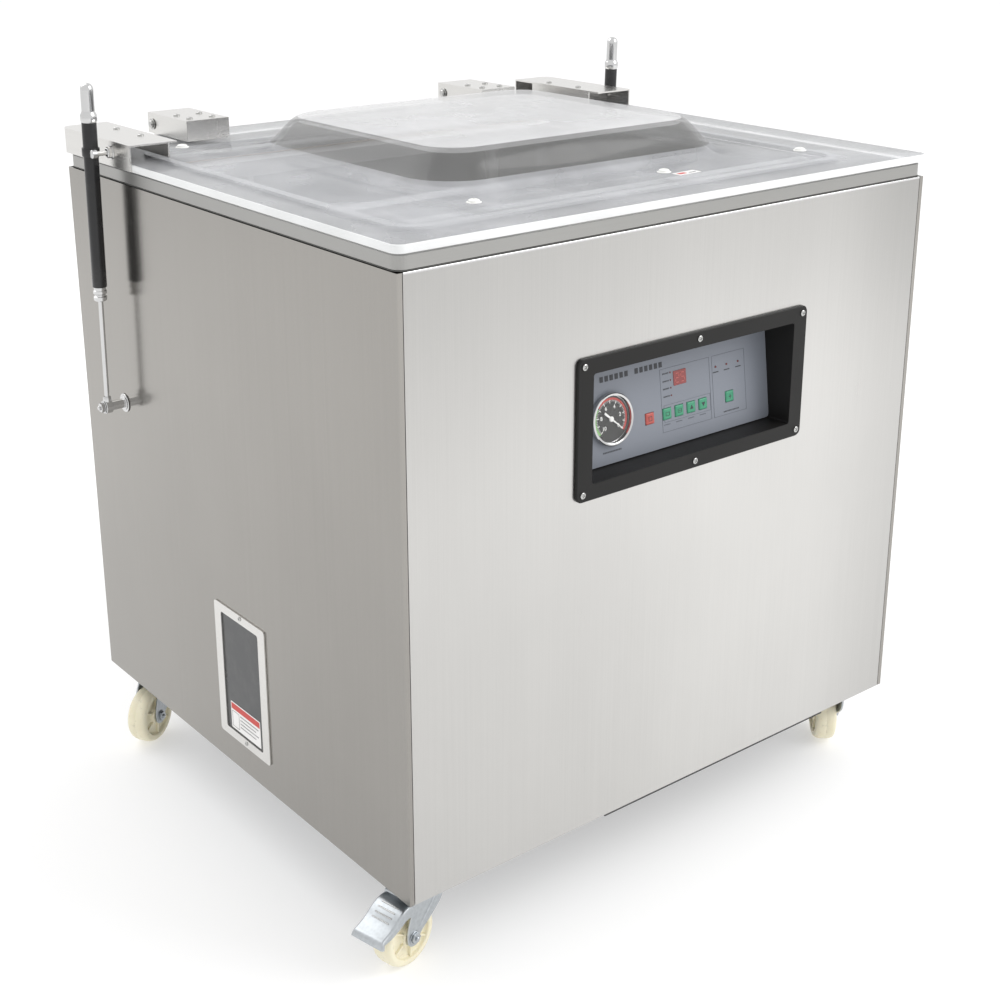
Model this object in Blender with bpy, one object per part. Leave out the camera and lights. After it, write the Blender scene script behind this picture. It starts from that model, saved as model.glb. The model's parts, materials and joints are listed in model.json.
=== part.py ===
# Floor-standing chamber vacuum sealer: cabinet on casters, steel chamber under a hinged clear lid,
# two lid struts, recessed control panel, pump window and the working parts inside.
# Metres, +Z up, front towards -Y. The origin is on the floor, in the middle of the whole machine.

import math

import bmesh
import bpy
from mathutils import Matrix, Vector

# ---- cabinet ----
cabinet_width = 0.780
cabinet_depth = 0.710
cabinet_height = 0.690
caster_height = 0.100
sheet = 0.0015                 # side, front and rear panels
touch = 0.0003                 # gap kept between pieces that touch
seam = 0.0008                  # gap between neighbouring panels
front_return = 0.0060          # side panel's return strip seen at the front corner
inner_return = 0.0200          # screw flange behind it
tube_size = 0.030              # base frame tube
post_size = 0.025
tray_drop = 0.0130
tray_sheet = 0.0015
tray_left = 0.290              # tray's edges, from the cabinet's left, right, front and rear
tray_right = 0.105
tray_front = 0.012
tray_rear = 0.120
rail_width = 0.030
rail_from_left = (0.090, 0.260)
louvre_spread = 0.170          # middle of each louvre bank, from the machine's middle
louvre_length = 0.150
louvre_height = 0.006
louvre_pitch = 0.018
louvre_rows = 9
louvre_above_bottom = 0.180

# ---- deck and chamber ----
deck_gap = 0.002
deck_height = 0.015
deck_sheet = 0.002
deck_inset = 0.0015
deck_corner = 0.012
chamber_side_rim = 0.075        # from the cabinet's side to the chamber
chamber_end_rim = 0.085         # from the cabinet's front or rear to the chamber
chamber_drop = 0.110
chamber_corner = 0.018
tub_flange = 0.012

# ---- lid ----
lid_gap = 0.0015
lid_thickness = 0.009
lid_side_overhang = 0.003
lid_front_overhang = 0.004
lid_corner = 0.012
dome_side_margin = 0.070        # from the chamber's edge in to the dome's foot
dome_end_margin = 0.050
dome_height = 0.045
dome_slope = 0.060             # plan width of the dome's side, foot to crown
dome_corner = 0.075
dome_wall = 0.006
gasket_width = 0.012
gasket_outset = 0.006          # from the chamber's edge to the gasket
groove_depth = 0.0035

# ---- seal bars ----
seal_end_gap = 0.015           # from the chamber's side to the bar's end
seal_inset = 0.024             # from the chamber's edge to the bar's middle
seal_width = 0.018
seal_height = 0.026
seal_below_lid = 0.0105        # open mouth of the bars
piston_radius = 0.009
piston_spread = 0.200
piston_tail = 0.022            # piston's reach through the chamber's floor
counter_width = 0.018
counter_height = 0.002

# ---- hinges ----
hinge_offset = 0.235           # from the middle of the machine
arm_width = 0.060
arm_length = 0.092             # from the hinge axis forwards
arm_height = 0.026
arm_sheet = 0.0025
hinge_behind = 0.012           # axis behind the lid's rear edge
hinge_above = 0.012            # axis above the lid
arm_tail = 0.013
pin_radius = 0.004
pin_clearance = 0.0003
hinge_plate_drop = 0.060       # plate's lower edge, below the deck
hinge_plate_thickness = 0.004

# ---- strut brackets ----
bracket_width = 0.062
bracket_length = 0.186
bracket_height = 0.0225        # above the lid
bracket_sheet = 0.002
bracket_corner = 0.014

# ---- struts ----
strut_outboard = 0.024         # strut axis outside the cabinet's side
anchor_rear_inset = 0.110      # strut's foot, from the cabinet's rear
anchor_height = 0.407          # above the cabinet's bottom
stud_rear_inset = 0.136        # stud, from the cabinet's rear
stud_above_lid = 0.009
stud_radius = 0.003
lug_forward = 0.0145           # lug's hole ahead of the strut's axis
lug_thickness = 0.006
rod_radius = 0.003
rod_exposed = 0.138
rod_inside = 0.200
gland_length = 0.017
gland_radius = 0.0082
tube_radius = 0.00875
tube_length = 0.201
tube_bore = 0.0066
collar_radius = 0.0098
collar_length = 0.013
cap_radius = 0.0077
cap_length = 0.032

# ---- control panel ----
panel_offset = 0.010           # panel's middle, right of the machine's
panel_drop = 0.206             # panel's middle below the cabinet's top
panel_width = 0.354
panel_height = 0.160
recess_width = 0.311
recess_height = 0.1235
bezel_proud = 0.004
recess_wall = 0.002
recess_middle_depth = 0.035
recess_tilt = math.radians(7.5)
face_thickness = 0.003
gauge_u = -0.096
gauge_v = -0.011
gauge_radius = 0.030
gauge_proud = 0.006
gauge_case_depth = 0.022
key_size = 0.013
key_pitch = 0.019
key_row_v = -0.023
key_proud = 0.0016
stop_key_u = -0.038
first_key_u = -0.011
mode_key_u = 0.090

# ---- pump window ----
window_from_front = 0.336
window_above_bottom = 0.126
window_frame_width = 0.1155
window_frame_height = 0.1755
pane_width = 0.091
pane_height = 0.160
window_proud = 0.002

# ---- casters ----
caster_inset = 0.048
wheel_radius = 0.0375
wheel_width = 0.028
caster_trail = 0.030
axle_radius = 0.004
wheel_bore = 0.0045
fork_gap = 0.0015
fork_sheet = 0.0025
crown_radius = 0.027
crown_top = 0.0877
crown_thickness = 0.006
race_height = 0.0060
plate_length = 0.084
plate_width = 0.066
plate_thickness = 0.004
pedal_hinge_x = 0.0320
pedal_reach = 0.080
pedal_width = 0.046
pedal_thickness = 0.003

# ---- inside ----
pump_from_left = 0.060
pump_sink = 0.004              # pump's feet, below the rails' top
pump_axis = 0.090              # motor's axis above the pump's foot
pump_length = 0.200
pump_depth = 0.150
pump_height = 0.170
motor_radius = 0.070
motor_length = 0.200
motor_foot_width = 0.120
motor_foot_reach = (0.050, 0.130)
hose_radius = 0.012
hose_lift = 0.120              # straight run at each end that the hose's curve is drawn towards
transformer_size = (0.120, 0.110, 0.125)
transformer_from_right = 0.055
transformer_from_rear = 0.100
transformer_sink = 0.020       # transformer's foot, below the frame's top
board_size = (0.150, 0.012, 0.135)
board_from_left = 0.470
board_from_front = 0.060
board_below_panel = 0.075
valve_size = (0.050, 0.040, 0.060)
valve_behind_port = 0.090
coil_radius = 0.016
coil_length = 0.050
port_from_side = 0.080         # suction port, from the chamber's right side
gland_hex = 0.014
inlet_from_side = 0.090
inlet_above_bottom = 0.090

# ---- derived places ----
chamber_width = cabinet_width - 2 * chamber_side_rim
chamber_depth = cabinet_depth - 2 * chamber_end_rim
seal_length = chamber_width - 2 * seal_end_gap
dome_width = chamber_width - 2 * dome_side_margin
dome_depth = chamber_depth - 2 * dome_end_margin
hinge_overhang = hinge_behind + arm_tail
total_depth = lid_front_overhang + cabinet_depth + hinge_overhang
front_y = -total_depth / 2 + lid_front_overhang
rear_y = front_y + cabinet_depth
middle_y = (front_y + rear_y) / 2
side_x = cabinet_width / 2
bottom_z = caster_height
cabinet_top = bottom_z + cabinet_height
deck_bottom = cabinet_top + deck_gap
deck_top = deck_bottom + deck_height
lid_bottom = deck_top + lid_gap
lid_top = lid_bottom + lid_thickness
hinge_y = rear_y + hinge_behind
hinge_z = lid_top + hinge_above
bar_y = chamber_depth / 2 - seal_inset
panel_z = cabinet_top - panel_drop
lid_side = side_x + lid_side_overhang
strut_x = side_x + strut_outboard
stud_y = rear_y - stud_rear_inset
stud_z = lid_top + stud_above_lid
anchor_y = rear_y - anchor_rear_inset
anchor_z = bottom_z + anchor_height
corner_steps = 6


# ---------------------------------------------------------------- helpers

def clear_scene():
    for old in list(bpy.data.objects):
        bpy.data.objects.remove(old, do_unlink=True)


def make_material(name, colour, roughness, metallic, alpha=1.0):
    mat = bpy.data.materials.new(name)
    mat.use_nodes = True
    shader = mat.node_tree.nodes["Principled BSDF"]
    shader.inputs["Base Color"].default_value = (*colour, 1.0)
    shader.inputs["Roughness"].default_value = roughness
    shader.inputs["Metallic"].default_value = metallic
    shader.inputs["Alpha"].default_value = alpha
    return mat


def add_object(name, bm, mat, smooth=False):
    """Turn a bmesh into a named object with outward faces."""
    bmesh.ops.recalc_face_normals(bm, faces=bm.faces)
    mesh = bpy.data.meshes.new(name)
    bm.to_mesh(mesh)
    bm.free()
    if smooth:
        mesh.shade_smooth()
        mesh.set_sharp_from_angle(angle=math.radians(35))
    obj = bpy.data.objects.new(name, mesh)
    if mat is not None:
        mesh.materials.append(mat)
    bpy.context.scene.collection.objects.link(obj)
    return obj


def add_box(bm, low, high):
    size = Vector(high) - Vector(low)
    centre = (Vector(high) + Vector(low)) / 2
    place = Matrix.Translation(centre) @ Matrix.Diagonal((*size, 1.0))
    bmesh.ops.create_cube(bm, size=1.0, matrix=place)


def box_object(name, low, high, mat=None):
    bm = bmesh.new()
    add_box(bm, low, high)
    return add_object(name, bm, mat)


def rounded_outline(half_x, half_y, radius, steps=corner_steps):
    """Corner points of a rounded rectangle, counter-clockwise, steps + 1 to each corner."""
    points = []
    for quarter in range(4):
        sign_x = (1, -1, -1, 1)[quarter]
        sign_y = (1, 1, -1, -1)[quarter]
        for step in range(steps + 1):
            angle = math.pi / 2 * (quarter + step / steps)
            x = sign_x * (half_x - radius) + radius * math.cos(angle)
            y = sign_y * (half_y - radius) + radius * math.sin(angle)
            points.append((x, y))
    return points


def add_rings(bm, rings, closed=False):
    """Join rings of equal point counts; an open stack is capped at both ends."""
    loops = [[bm.verts.new(point) for point in ring] for ring in rings]
    pairs = list(zip(loops, loops[1:]))
    if closed:
        pairs.append((loops[-1], loops[0]))
    for first, second in pairs:
        for i in range(len(first)):
            j = (i + 1) % len(first)
            bm.faces.new((first[i], first[j], second[j], second[i]))
    if not closed:
        bm.faces.new(loops[0])
        bm.faces.new(loops[-1])


def plan_ring(half_x, half_y, radius, z, centre_x=0.0, centre_y=0.0):
    return [(x + centre_x, y + centre_y, z) for x, y in rounded_outline(half_x, half_y, radius)]


def add_turned(bm, profile, segments, matrix=None, closed=False):
    """Turn a profile of (radius, height) pairs about local Z; radius 0 closes an end."""
    rings = []
    for radius, height in profile:
        ring = []
        for i in range(segments):
            angle = 2 * math.pi * i / segments
            ring.append(Vector((radius * math.cos(angle), radius * math.sin(angle), height)))
        rings.append(ring)
    if matrix is not None:
        rings = [[matrix @ point for point in ring] for ring in rings]
    add_rings(bm, rings, closed)


def add_prism(bm, outline, low, high, matrix=None):
    """Extrude a flat outline along local Z from low to high."""
    rings = [[Vector((x, y, z)) for x, y in outline] for z in (low, high)]
    if matrix is not None:
        rings = [[matrix @ point for point in ring] for ring in rings]
    add_rings(bm, rings)


def combine(target, other, operation):
    """Apply an exact Boolean to target and remove the other object."""
    modifier = target.modifiers.new(operation.lower(), "BOOLEAN")
    modifier.operation = operation
    modifier.solver = "EXACT"
    modifier.object = other
    bpy.context.view_layer.update()
    graph = bpy.context.evaluated_depsgraph_get()
    result = bpy.data.meshes.new_from_object(target.evaluated_get(graph))
    target.modifiers.clear()
    target.data = result
    bpy.data.objects.remove(other, do_unlink=True)


def cut_box(target, low, high):
    combine(target, box_object("cutter", low, high), "DIFFERENCE")


def join_box(target, low, high):
    combine(target, box_object("joiner", low, high), "UNION")


def smooth_sharp(obj):
    obj.data.shade_smooth()
    obj.data.set_sharp_from_angle(angle=math.radians(35))


# local Z turned onto +X, for pieces turned about a crosswise axis
along_x = Matrix.Rotation(math.pi / 2, 4, "Y")
# local Z turned onto +Y
along_y = Matrix.Rotation(-math.pi / 2, 4, "X")


# ---------------------------------------------------------------- cabinet

def side_panel(name, side, mat):
    """Sheet with its returns: a thin strip at the front, then a screw flange going inwards."""
    outer = side * side_x
    inner = outer - side * sheet
    strip = outer - side * front_return
    strip_inner = strip + side * sheet
    outline = [
        (outer, front_y), (strip, front_y), (strip, front_y + inner_return),
        (strip_inner, front_y + inner_return), (strip_inner, front_y + sheet),
        (inner, front_y + sheet), (inner, rear_y - sheet),
        (strip_inner, rear_y - sheet), (strip_inner, rear_y - inner_return),
        (strip, rear_y - inner_return), (strip, rear_y), (outer, rear_y),
    ]
    bm = bmesh.new()
    add_prism(bm, outline, bottom_z, cabinet_top)
    return add_object(name, bm, mat)


def cabinet_panels(steel):
    left = side_panel("side_panel_left", -1, steel)
    side_panel("side_panel_right", 1, steel)
    window_y = front_y + window_from_front
    window_z = bottom_z + window_above_bottom
    half_w = pane_width / 2
    half_h = pane_height / 2
    cut_box(left, (-side_x - sheet, window_y - half_w, window_z - half_h),
            (-side_x + 2 * sheet, window_y + half_w, window_z + half_h))

    half = side_x - front_return - seam
    front = box_object("front_panel", (-half, front_y, bottom_z),
                       (half, front_y + sheet, cabinet_top), steel)
    fold = inner_return * 0.75
    for low_z, high_z in ((bottom_z, bottom_z + sheet), (cabinet_top - sheet, cabinet_top)):
        join_box(front, (-half, front_y + sheet / 2, low_z), (half, front_y + fold, high_z))
    hole_w = recess_width / 2 + recess_wall + touch
    hole_h = recess_height / 2 + recess_wall + touch
    cut_box(front, (panel_offset - hole_w, front_y - sheet, panel_z - hole_h),
            (panel_offset + hole_w, front_y + 2 * sheet, panel_z + hole_h))

    rear = box_object("rear_panel", (-half, rear_y - sheet, bottom_z),
                      (half, rear_y, cabinet_top), steel)
    cut_louvres(rear)
    inlet_x, inlet_z = inlet_place()
    hole = bmesh.new()
    add_turned(hole, [(gland_hex * 0.6 + touch, -0.01), (gland_hex * 0.6 + touch, 0.01)], 20,
               Matrix.Translation((inlet_x, rear_y, inlet_z)) @ along_y)
    combine(rear, add_object("cutter", hole, None), "DIFFERENCE")


def cut_louvres(panel):
    """Two banks of vent slots in the rear panel, all in one cutter."""
    bm = bmesh.new()
    for bank_x in (-louvre_spread, louvre_spread):
        for row in range(louvre_rows):
            z = bottom_z + louvre_above_bottom + row * louvre_pitch
            add_box(bm, (bank_x - louvre_length / 2, rear_y - 2 * sheet, z),
                    (bank_x + louvre_length / 2, rear_y + sheet, z + louvre_height))
    combine(panel, add_object("cutter", bm, None), "DIFFERENCE")


def inlet_place():
    return side_x - inlet_from_side, bottom_z + inlet_above_bottom


def chassis_frame(mat):
    """Base ring of square tube, four posts, top ring and the two rails that carry the pump."""
    outer_x = side_x - front_return - seam - 0.001
    outer_y = cabinet_depth / 2 - inner_return - 0.001
    ring_z = (bottom_z + sheet + touch, bottom_z + sheet + touch + tube_size)
    top_z = (cabinet_top - sheet - touch - post_size, cabinet_top - sheet - touch)
    bm = bmesh.new()
    add_rings(bm, frame_rings(outer_x, outer_y, tube_size, ring_z), closed=True)
    frame = add_object("chassis_frame", bm, mat)
    for sign_x in (-1, 1):
        for sign_y in (-1, 1):
            x = sign_x * (outer_x - 0.001 - post_size / 2)
            y = middle_y + sign_y * (outer_y - 0.001 - post_size / 2)
            half = post_size / 2
            join_box(frame, (x - half, y - half, ring_z[0] + 0.005), (x + half, y + half, top_z[1] - 0.005))
    bm = bmesh.new()
    add_rings(bm, frame_rings(outer_x - 0.0005, outer_y - 0.0005, post_size, top_z), closed=True)
    combine(frame, add_object("top_ring", bm, None), "UNION")
    for from_left in rail_from_left:
        rail_x = from_left - side_x
        join_box(frame, (rail_x - rail_width / 2, middle_y - outer_y + 0.010, ring_z[0] + 0.004),
                 (rail_x + rail_width / 2, middle_y + outer_y - 0.010, ring_z[1] - 0.004))
    return frame


def frame_rings(half_x, half_y, width, z_range):
    """Square-cornered ring of square section, as four closed loops of four points."""
    loops = []
    for inset, z in ((0, z_range[0]), (0, z_range[1]), (width, z_range[1]), (width, z_range[0])):
        x = half_x - inset
        y = half_y - inset
        corners = [(x, y), (-x, y), (-x, -y), (x, -y)]
        loops.append([(cx, middle_y + cy, z) for cx, cy in corners])
    return loops


def base_tray(mat):
    """Shallow vented pan under the machine; its slots let air up to the motor."""
    low = (tray_left - side_x, front_y + tray_front, bottom_z - tray_drop)
    high = (side_x - tray_right, rear_y - tray_rear, bottom_z - touch)
    tray = box_object("base_tray", low, high, mat)
    wall = tray_sheet
    cut_box(tray, (low[0] + wall, low[1] + wall, low[2] + wall),
            (high[0] - wall, high[1] - wall, high[2] + 0.01))
    bm = bmesh.new()
    for row in range(8):
        y = low[1] + 0.080 + row * 0.050
        add_box(bm, (low[0] + 0.060, y, low[2] - 0.01), (high[0] - 0.060, y + 0.010, low[2] + 0.01))
    combine(tray, add_object("cutter", bm, None), "DIFFERENCE")


# ---------------------------------------------------------------- deck, chamber and seal bars

def chamber_deck(mat):
    """Top sheet with a turned-down edge band outside and a short lip at the chamber."""
    half_x = side_x - deck_inset
    half_y = cabinet_depth / 2 - deck_inset
    hole_x = chamber_width / 2
    hole_y = chamber_depth / 2
    round_edge = 0.0015
    section = [
        (half_x, half_y, deck_corner, deck_bottom),
        (half_x, half_y, deck_corner, deck_top - round_edge),
        (half_x - round_edge, half_y - round_edge, deck_corner - round_edge, deck_top),
        (hole_x, hole_y, chamber_corner, deck_top),
        (hole_x, hole_y, chamber_corner, deck_top - deck_sheet),
        (half_x - deck_sheet, half_y - deck_sheet, deck_corner - deck_sheet, deck_top - deck_sheet),
        (half_x - deck_sheet, half_y - deck_sheet, deck_corner - deck_sheet, deck_bottom),
    ]
    bm = bmesh.new()
    add_rings(bm, [plan_ring(*ring, centre_y=middle_y) for ring in section], closed=True)
    return add_object("chamber_deck", bm, mat)


def chamber_tub(mat):
    """Pressed tub hung from its flange under the deck, with a rounded bottom edge."""
    hole_x = chamber_width / 2
    hole_y = chamber_depth / 2
    flange_z = deck_top - deck_sheet - touch
    floor_z = deck_top - chamber_drop
    wall = deck_sheet
    bend = 0.012
    section = [
        (hole_x - bend, hole_y - bend, chamber_corner - bend, floor_z),
        (hole_x - bend * 0.3, hole_y - bend * 0.3, chamber_corner - bend * 0.3, floor_z + bend * 0.3),
        (hole_x, hole_y, chamber_corner, floor_z + bend),
        (hole_x, hole_y, chamber_corner, flange_z),
        (hole_x + tub_flange, hole_y + tub_flange, chamber_corner + tub_flange, flange_z),
        (hole_x + tub_flange, hole_y + tub_flange, chamber_corner + tub_flange, flange_z - wall),
        (hole_x + wall, hole_y + wall, chamber_corner + wall, flange_z - wall),
        (hole_x + wall, hole_y + wall, chamber_corner + wall, floor_z + bend - wall),
        (hole_x - bend * 0.3 + wall, hole_y - bend * 0.3 + wall, chamber_corner - bend * 0.3 + wall,
         floor_z + bend * 0.3 - wall),
        (hole_x - bend, hole_y - bend, chamber_corner - bend, floor_z - wall),
    ]
    bm = bmesh.new()
    add_rings(bm, [plan_ring(*ring, centre_y=middle_y) for ring in section])
    tub = add_object("chamber_tub", bm, mat)
    holes = [(hose_radius + 0.001, port_place())]
    for sign_x in (-1, 1):
        for sign_y in (-1, 1):
            place = Vector((sign_x * piston_spread, middle_y + sign_y * bar_y, floor_z))
            holes.append((piston_radius + touch, place))
    cutters = bmesh.new()
    for radius, place in holes:
        add_turned(cutters, [(radius, -0.02), (radius, 0.02)], 20, Matrix.Translation(place))
    combine(tub, add_object("cutter", cutters, None), "DIFFERENCE")


def port_place():
    """Middle of the suction port in the chamber's floor."""
    return Vector((chamber_width / 2 - port_from_side, middle_y, deck_top - chamber_drop))


def seal_bar(name, side, mat):
    """Aluminium bar with a rounded sealing face, on two lift pistons."""
    y = middle_y + side * bar_y
    top = lid_bottom - seal_below_lid
    half_w = seal_width / 2
    floor_z = deck_top - chamber_drop
    outline = [
        (-half_w, top - seal_height), (half_w, top - seal_height), (half_w, top - 0.006),
        (half_w * 0.45, top - 0.001), (half_w * 0.25, top), (-half_w * 0.25, top),
        (-half_w * 0.45, top - 0.001), (-half_w, top - 0.006),
    ]
    bm = bmesh.new()
    place = Matrix.Translation((0.0, y, 0.0)) @ Matrix(((0, 0, 1, 0), (1, 0, 0, 0), (0, 1, 0, 0), (0, 0, 0, 1)))
    add_prism(bm, outline, -seal_length / 2, seal_length / 2, place)
    bar = add_object(name, bm, mat)
    pistons = bmesh.new()
    for sign in (-1, 1):
        place = Matrix.Translation((sign * piston_spread, y, 0.0))
        profile = [(piston_radius, floor_z - piston_tail), (piston_radius, top - seal_height + 0.004)]
        add_turned(pistons, profile, 16, place)
    combine(bar, add_object("pistons", pistons, None), "UNION")


# ---------------------------------------------------------------- lid

def dome_rings(steps, drop):
    """Rings up the dome: plan inset grows from foot to crown while the height follows a smooth step."""
    rings = []
    for i in range(steps + 1):
        t = i / steps
        inset = dome_slope * t
        lift = t ** 1.2
        height = dome_height * (3 * lift ** 2 - 2 * lift ** 3)
        half_x = dome_width / 2 - inset
        half_y = dome_depth / 2 - inset
        radius = max(dome_corner - inset * 0.6, 0.010)
        rings.append(plan_ring(half_x, half_y, radius, lid_top + height - drop, centre_y=middle_y))
    return rings


def lid(mat):
    """Clear plate with its formed dome and the gasket groove underneath, one closed shell."""
    centre_y = (front_y - lid_front_overhang + rear_y) / 2
    half_x = lid_side
    half_y = (cabinet_depth + lid_front_overhang) / 2
    edge = 0.001
    groove_in = gasket_outset - touch
    groove_out = gasket_outset + gasket_width + touch
    hole_x = chamber_width / 2
    hole_y = chamber_depth / 2
    groove_top = lid_bottom + groove_depth

    def groove_ring(outset, z):
        return plan_ring(hole_x + outset, hole_y + outset, chamber_corner + outset, z, centre_y=middle_y)

    rings = list(reversed(dome_rings(8, 0.0)))
    rings.append(plan_ring(half_x - edge, half_y - edge, lid_corner - edge, lid_top, centre_y=centre_y))
    rings.append(plan_ring(half_x, half_y, lid_corner, lid_top - edge, centre_y=centre_y))
    rings.append(plan_ring(half_x, half_y, lid_corner, lid_bottom + edge, centre_y=centre_y))
    rings.append(plan_ring(half_x - edge, half_y - edge, lid_corner - edge, lid_bottom, centre_y=centre_y))
    rings.append(groove_ring(groove_out, lid_bottom))
    rings.append(groove_ring(groove_out, groove_top))
    rings.append(groove_ring(groove_in, groove_top))
    rings.append(groove_ring(groove_in, lid_bottom))
    foot = plan_ring(dome_width / 2 - dome_wall, dome_depth / 2 - dome_wall, dome_corner - dome_wall,
                     lid_bottom, centre_y=middle_y)
    rings.append(foot)
    for i in range(1, 9):
        t = i / 8
        lift = t ** 1.2
        height = dome_height * (3 * lift ** 2 - 2 * lift ** 3)
        inset = dome_wall + (dome_slope - dome_wall + 0.002) * t
        drop = lid_thickness + (dome_wall - lid_thickness) * t
        radius = max(dome_corner - dome_wall - inset * 0.5, 0.010)
        rings.append(plan_ring(dome_width / 2 - inset, dome_depth / 2 - inset, radius,
                               lid_top + height - drop, centre_y=middle_y))
    bm = bmesh.new()
    add_rings(bm, rings)
    return add_object("lid", bm, mat, smooth=True)


def lid_gasket(mat):
    """Soft ring pressed into the lid's groove; it stands down onto the deck."""
    inner = gasket_outset
    outer = gasket_outset + gasket_width
    top = lid_bottom + groove_depth - touch
    low = deck_top + touch
    bevel = 0.0015
    section = [
        (inner, top), (outer, top), (outer, low + bevel), (outer - bevel * 2, low),
        (inner + bevel * 2, low), (inner, low + bevel),
    ]
    hole_x = chamber_width / 2
    hole_y = chamber_depth / 2
    rings = [plan_ring(hole_x + o, hole_y + o, chamber_corner + o, z, centre_y=middle_y) for o, z in section]
    bm = bmesh.new()
    add_rings(bm, rings, closed=True)
    add_object("lid_gasket", bm, mat)


def counter_bar(name, side, mat):
    """Flat holder for the silicone strip, under the lid over a seal bar."""
    y = middle_y + side * bar_y
    top = lid_bottom - touch
    half = seal_length / 2
    box_object(name, (-half, y - counter_width / 2, top - counter_height),
               (half, y + counter_width / 2, top), mat)


def hinge_arm(name, side, mat):
    """Folded channel on the lid; its flanges run back past the lid's edge to the pin."""
    x = side * hinge_offset
    half = arm_width / 2
    low_z = lid_top + touch
    high_z = lid_top + arm_height
    front = hinge_y - arm_length
    rear = hinge_y + arm_tail
    arm = box_object(name, (x - half, front, low_z), (x + half, rear, high_z), mat)
    cut_box(arm, (x - half + arm_sheet, front - 0.01, low_z - 0.01),
            (x + half - arm_sheet, rear + 0.01, high_z - arm_sheet))
    join_box(arm, (x - half + 0.0005, front, low_z), (x + half - 0.0005, front + arm_sheet, high_z - 0.0005))
    hole = bmesh.new()
    radius = pin_radius + pin_clearance
    add_turned(hole, [(radius, x - half - 0.01), (radius, x + half + 0.01)], 24,
               Matrix.Translation((0, hinge_y, hinge_z)) @ along_x)
    combine(arm, add_object("cutter", hole, None), "DIFFERENCE")
    arm.data.transform(Matrix.Translation((0, -hinge_y, -hinge_z)))
    arm.location = (0, hinge_y, hinge_z)


def hinge_base(name, side, mat):
    """Plate on the deck's rear band with a lug between the arm's flanges and a cross pin."""
    x = side * hinge_offset
    back = rear_y + touch
    lug_half = arm_width / 2 - arm_sheet - 0.0010
    base = box_object(name, (x - lug_half, back, deck_bottom - hinge_plate_drop),
                      (x + lug_half, back + hinge_plate_thickness, deck_top), mat)
    lug = bmesh.new()
    add_turned(lug, [(0.009, x - lug_half), (0.009, x + lug_half)], 20,
               Matrix.Translation((0, hinge_y, hinge_z)) @ along_x)
    combine(base, add_object("lug", lug, None), "UNION")
    join_box(base, (x - lug_half + 0.0005, hinge_y - 0.0088, deck_top - 0.012),
             (x + lug_half - 0.0005, hinge_y + 0.0060, hinge_z))
    join_box(base, (x - lug_half + 0.0010, back + 0.0005, deck_top - 0.014),
             (x + lug_half - 0.0010, hinge_y + 0.0055, deck_top - 0.006))
    pin = bmesh.new()
    half = arm_width / 2 + 0.003
    add_turned(pin, [(pin_radius, x - half), (pin_radius, x + half)], 24,
               Matrix.Translation((0, hinge_y, hinge_z)) @ along_x)
    combine(base, add_object("pin", pin, None), "UNION")


def strut_bracket(name, side, mat):
    """Folded cover over the lid's rear corner, carrying the stud that the strut pulls on."""
    outer_x = lid_side + touch + bracket_sheet
    rear = rear_y + touch + bracket_sheet
    front = rear - bracket_length
    low_z = lid_bottom + 0.001
    high_z = lid_top + bracket_height
    half_x = bracket_width
    half_y = bracket_length
    centre = (outer_x - half_x, rear - half_y)

    def corner_outline(shrink):
        points = [(outer_x - bracket_width, front - shrink), (outer_x - shrink, front - shrink)]
        radius = bracket_corner - shrink
        for step in range(corner_steps + 1):
            angle = math.pi / 2 * step / corner_steps
            points.append((centre[0] + half_x - bracket_corner + radius * math.cos(angle),
                           centre[1] + half_y - bracket_corner + radius * math.sin(angle)))
        points.append((outer_x - bracket_width, rear - shrink))
        return points

    bm = bmesh.new()
    add_prism(bm, corner_outline(0.0), low_z, high_z)
    bracket = add_object(name, bm, mat)
    hollow = bmesh.new()
    inner = corner_outline(bracket_sheet)
    inner = [(x - (0.010 if i in (0, len(inner) - 1) else 0.0), y - (0.010 if i < 2 else 0.0))
             for i, (x, y) in enumerate(inner)]
    add_prism(hollow, inner, low_z - 0.01, high_z - bracket_sheet)
    combine(bracket, add_object("cutter", hollow, None), "DIFFERENCE")
    join_box(bracket, (outer_x - bracket_width, front + 0.020, lid_top + touch),
             (outer_x - bracket_width + bracket_sheet, rear - 0.040, high_z - 0.0005))
    stud = bmesh.new()
    profile = [
        (stud_radius * 2.2, outer_x - bracket_sheet - 0.003), (stud_radius * 2.2, outer_x + 0.0045),
        (stud_radius, outer_x + 0.0045), (stud_radius, strut_x - touch),
    ]
    add_turned(stud, profile, 16, Matrix.Translation((0, stud_y, stud_z)) @ along_x)
    combine(bracket, add_object("stud", stud, None), "UNION")
    if side < 0:
        bracket.data.transform(Matrix.Diagonal((-1, 1, 1, 1)))
        bracket.data.flip_normals()
    bracket.data.transform(Matrix.Translation((0, -hinge_y, -hinge_z)))
    bracket.location = (0, hinge_y, hinge_z)


# ---------------------------------------------------------------- struts

def strut_lean():
    """Lean of the strut's axis from upright, towards the front, that puts the lug on the stud."""
    run = anchor_y - stud_y
    rise = stud_z - anchor_z
    reach = math.hypot(run, rise)
    return math.atan2(run, rise) - math.asin(lug_forward / reach)


def lug_height():
    """Distance of the lug's hole up the strut's axis."""
    reach = math.hypot(anchor_y - stud_y, stud_z - anchor_z)
    return math.sqrt(reach ** 2 - lug_forward ** 2)


def place_strut(obj, side):
    obj.location = (side * strut_x, anchor_y, anchor_z)
    obj.rotation_euler = (strut_lean(), 0, 0)


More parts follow.
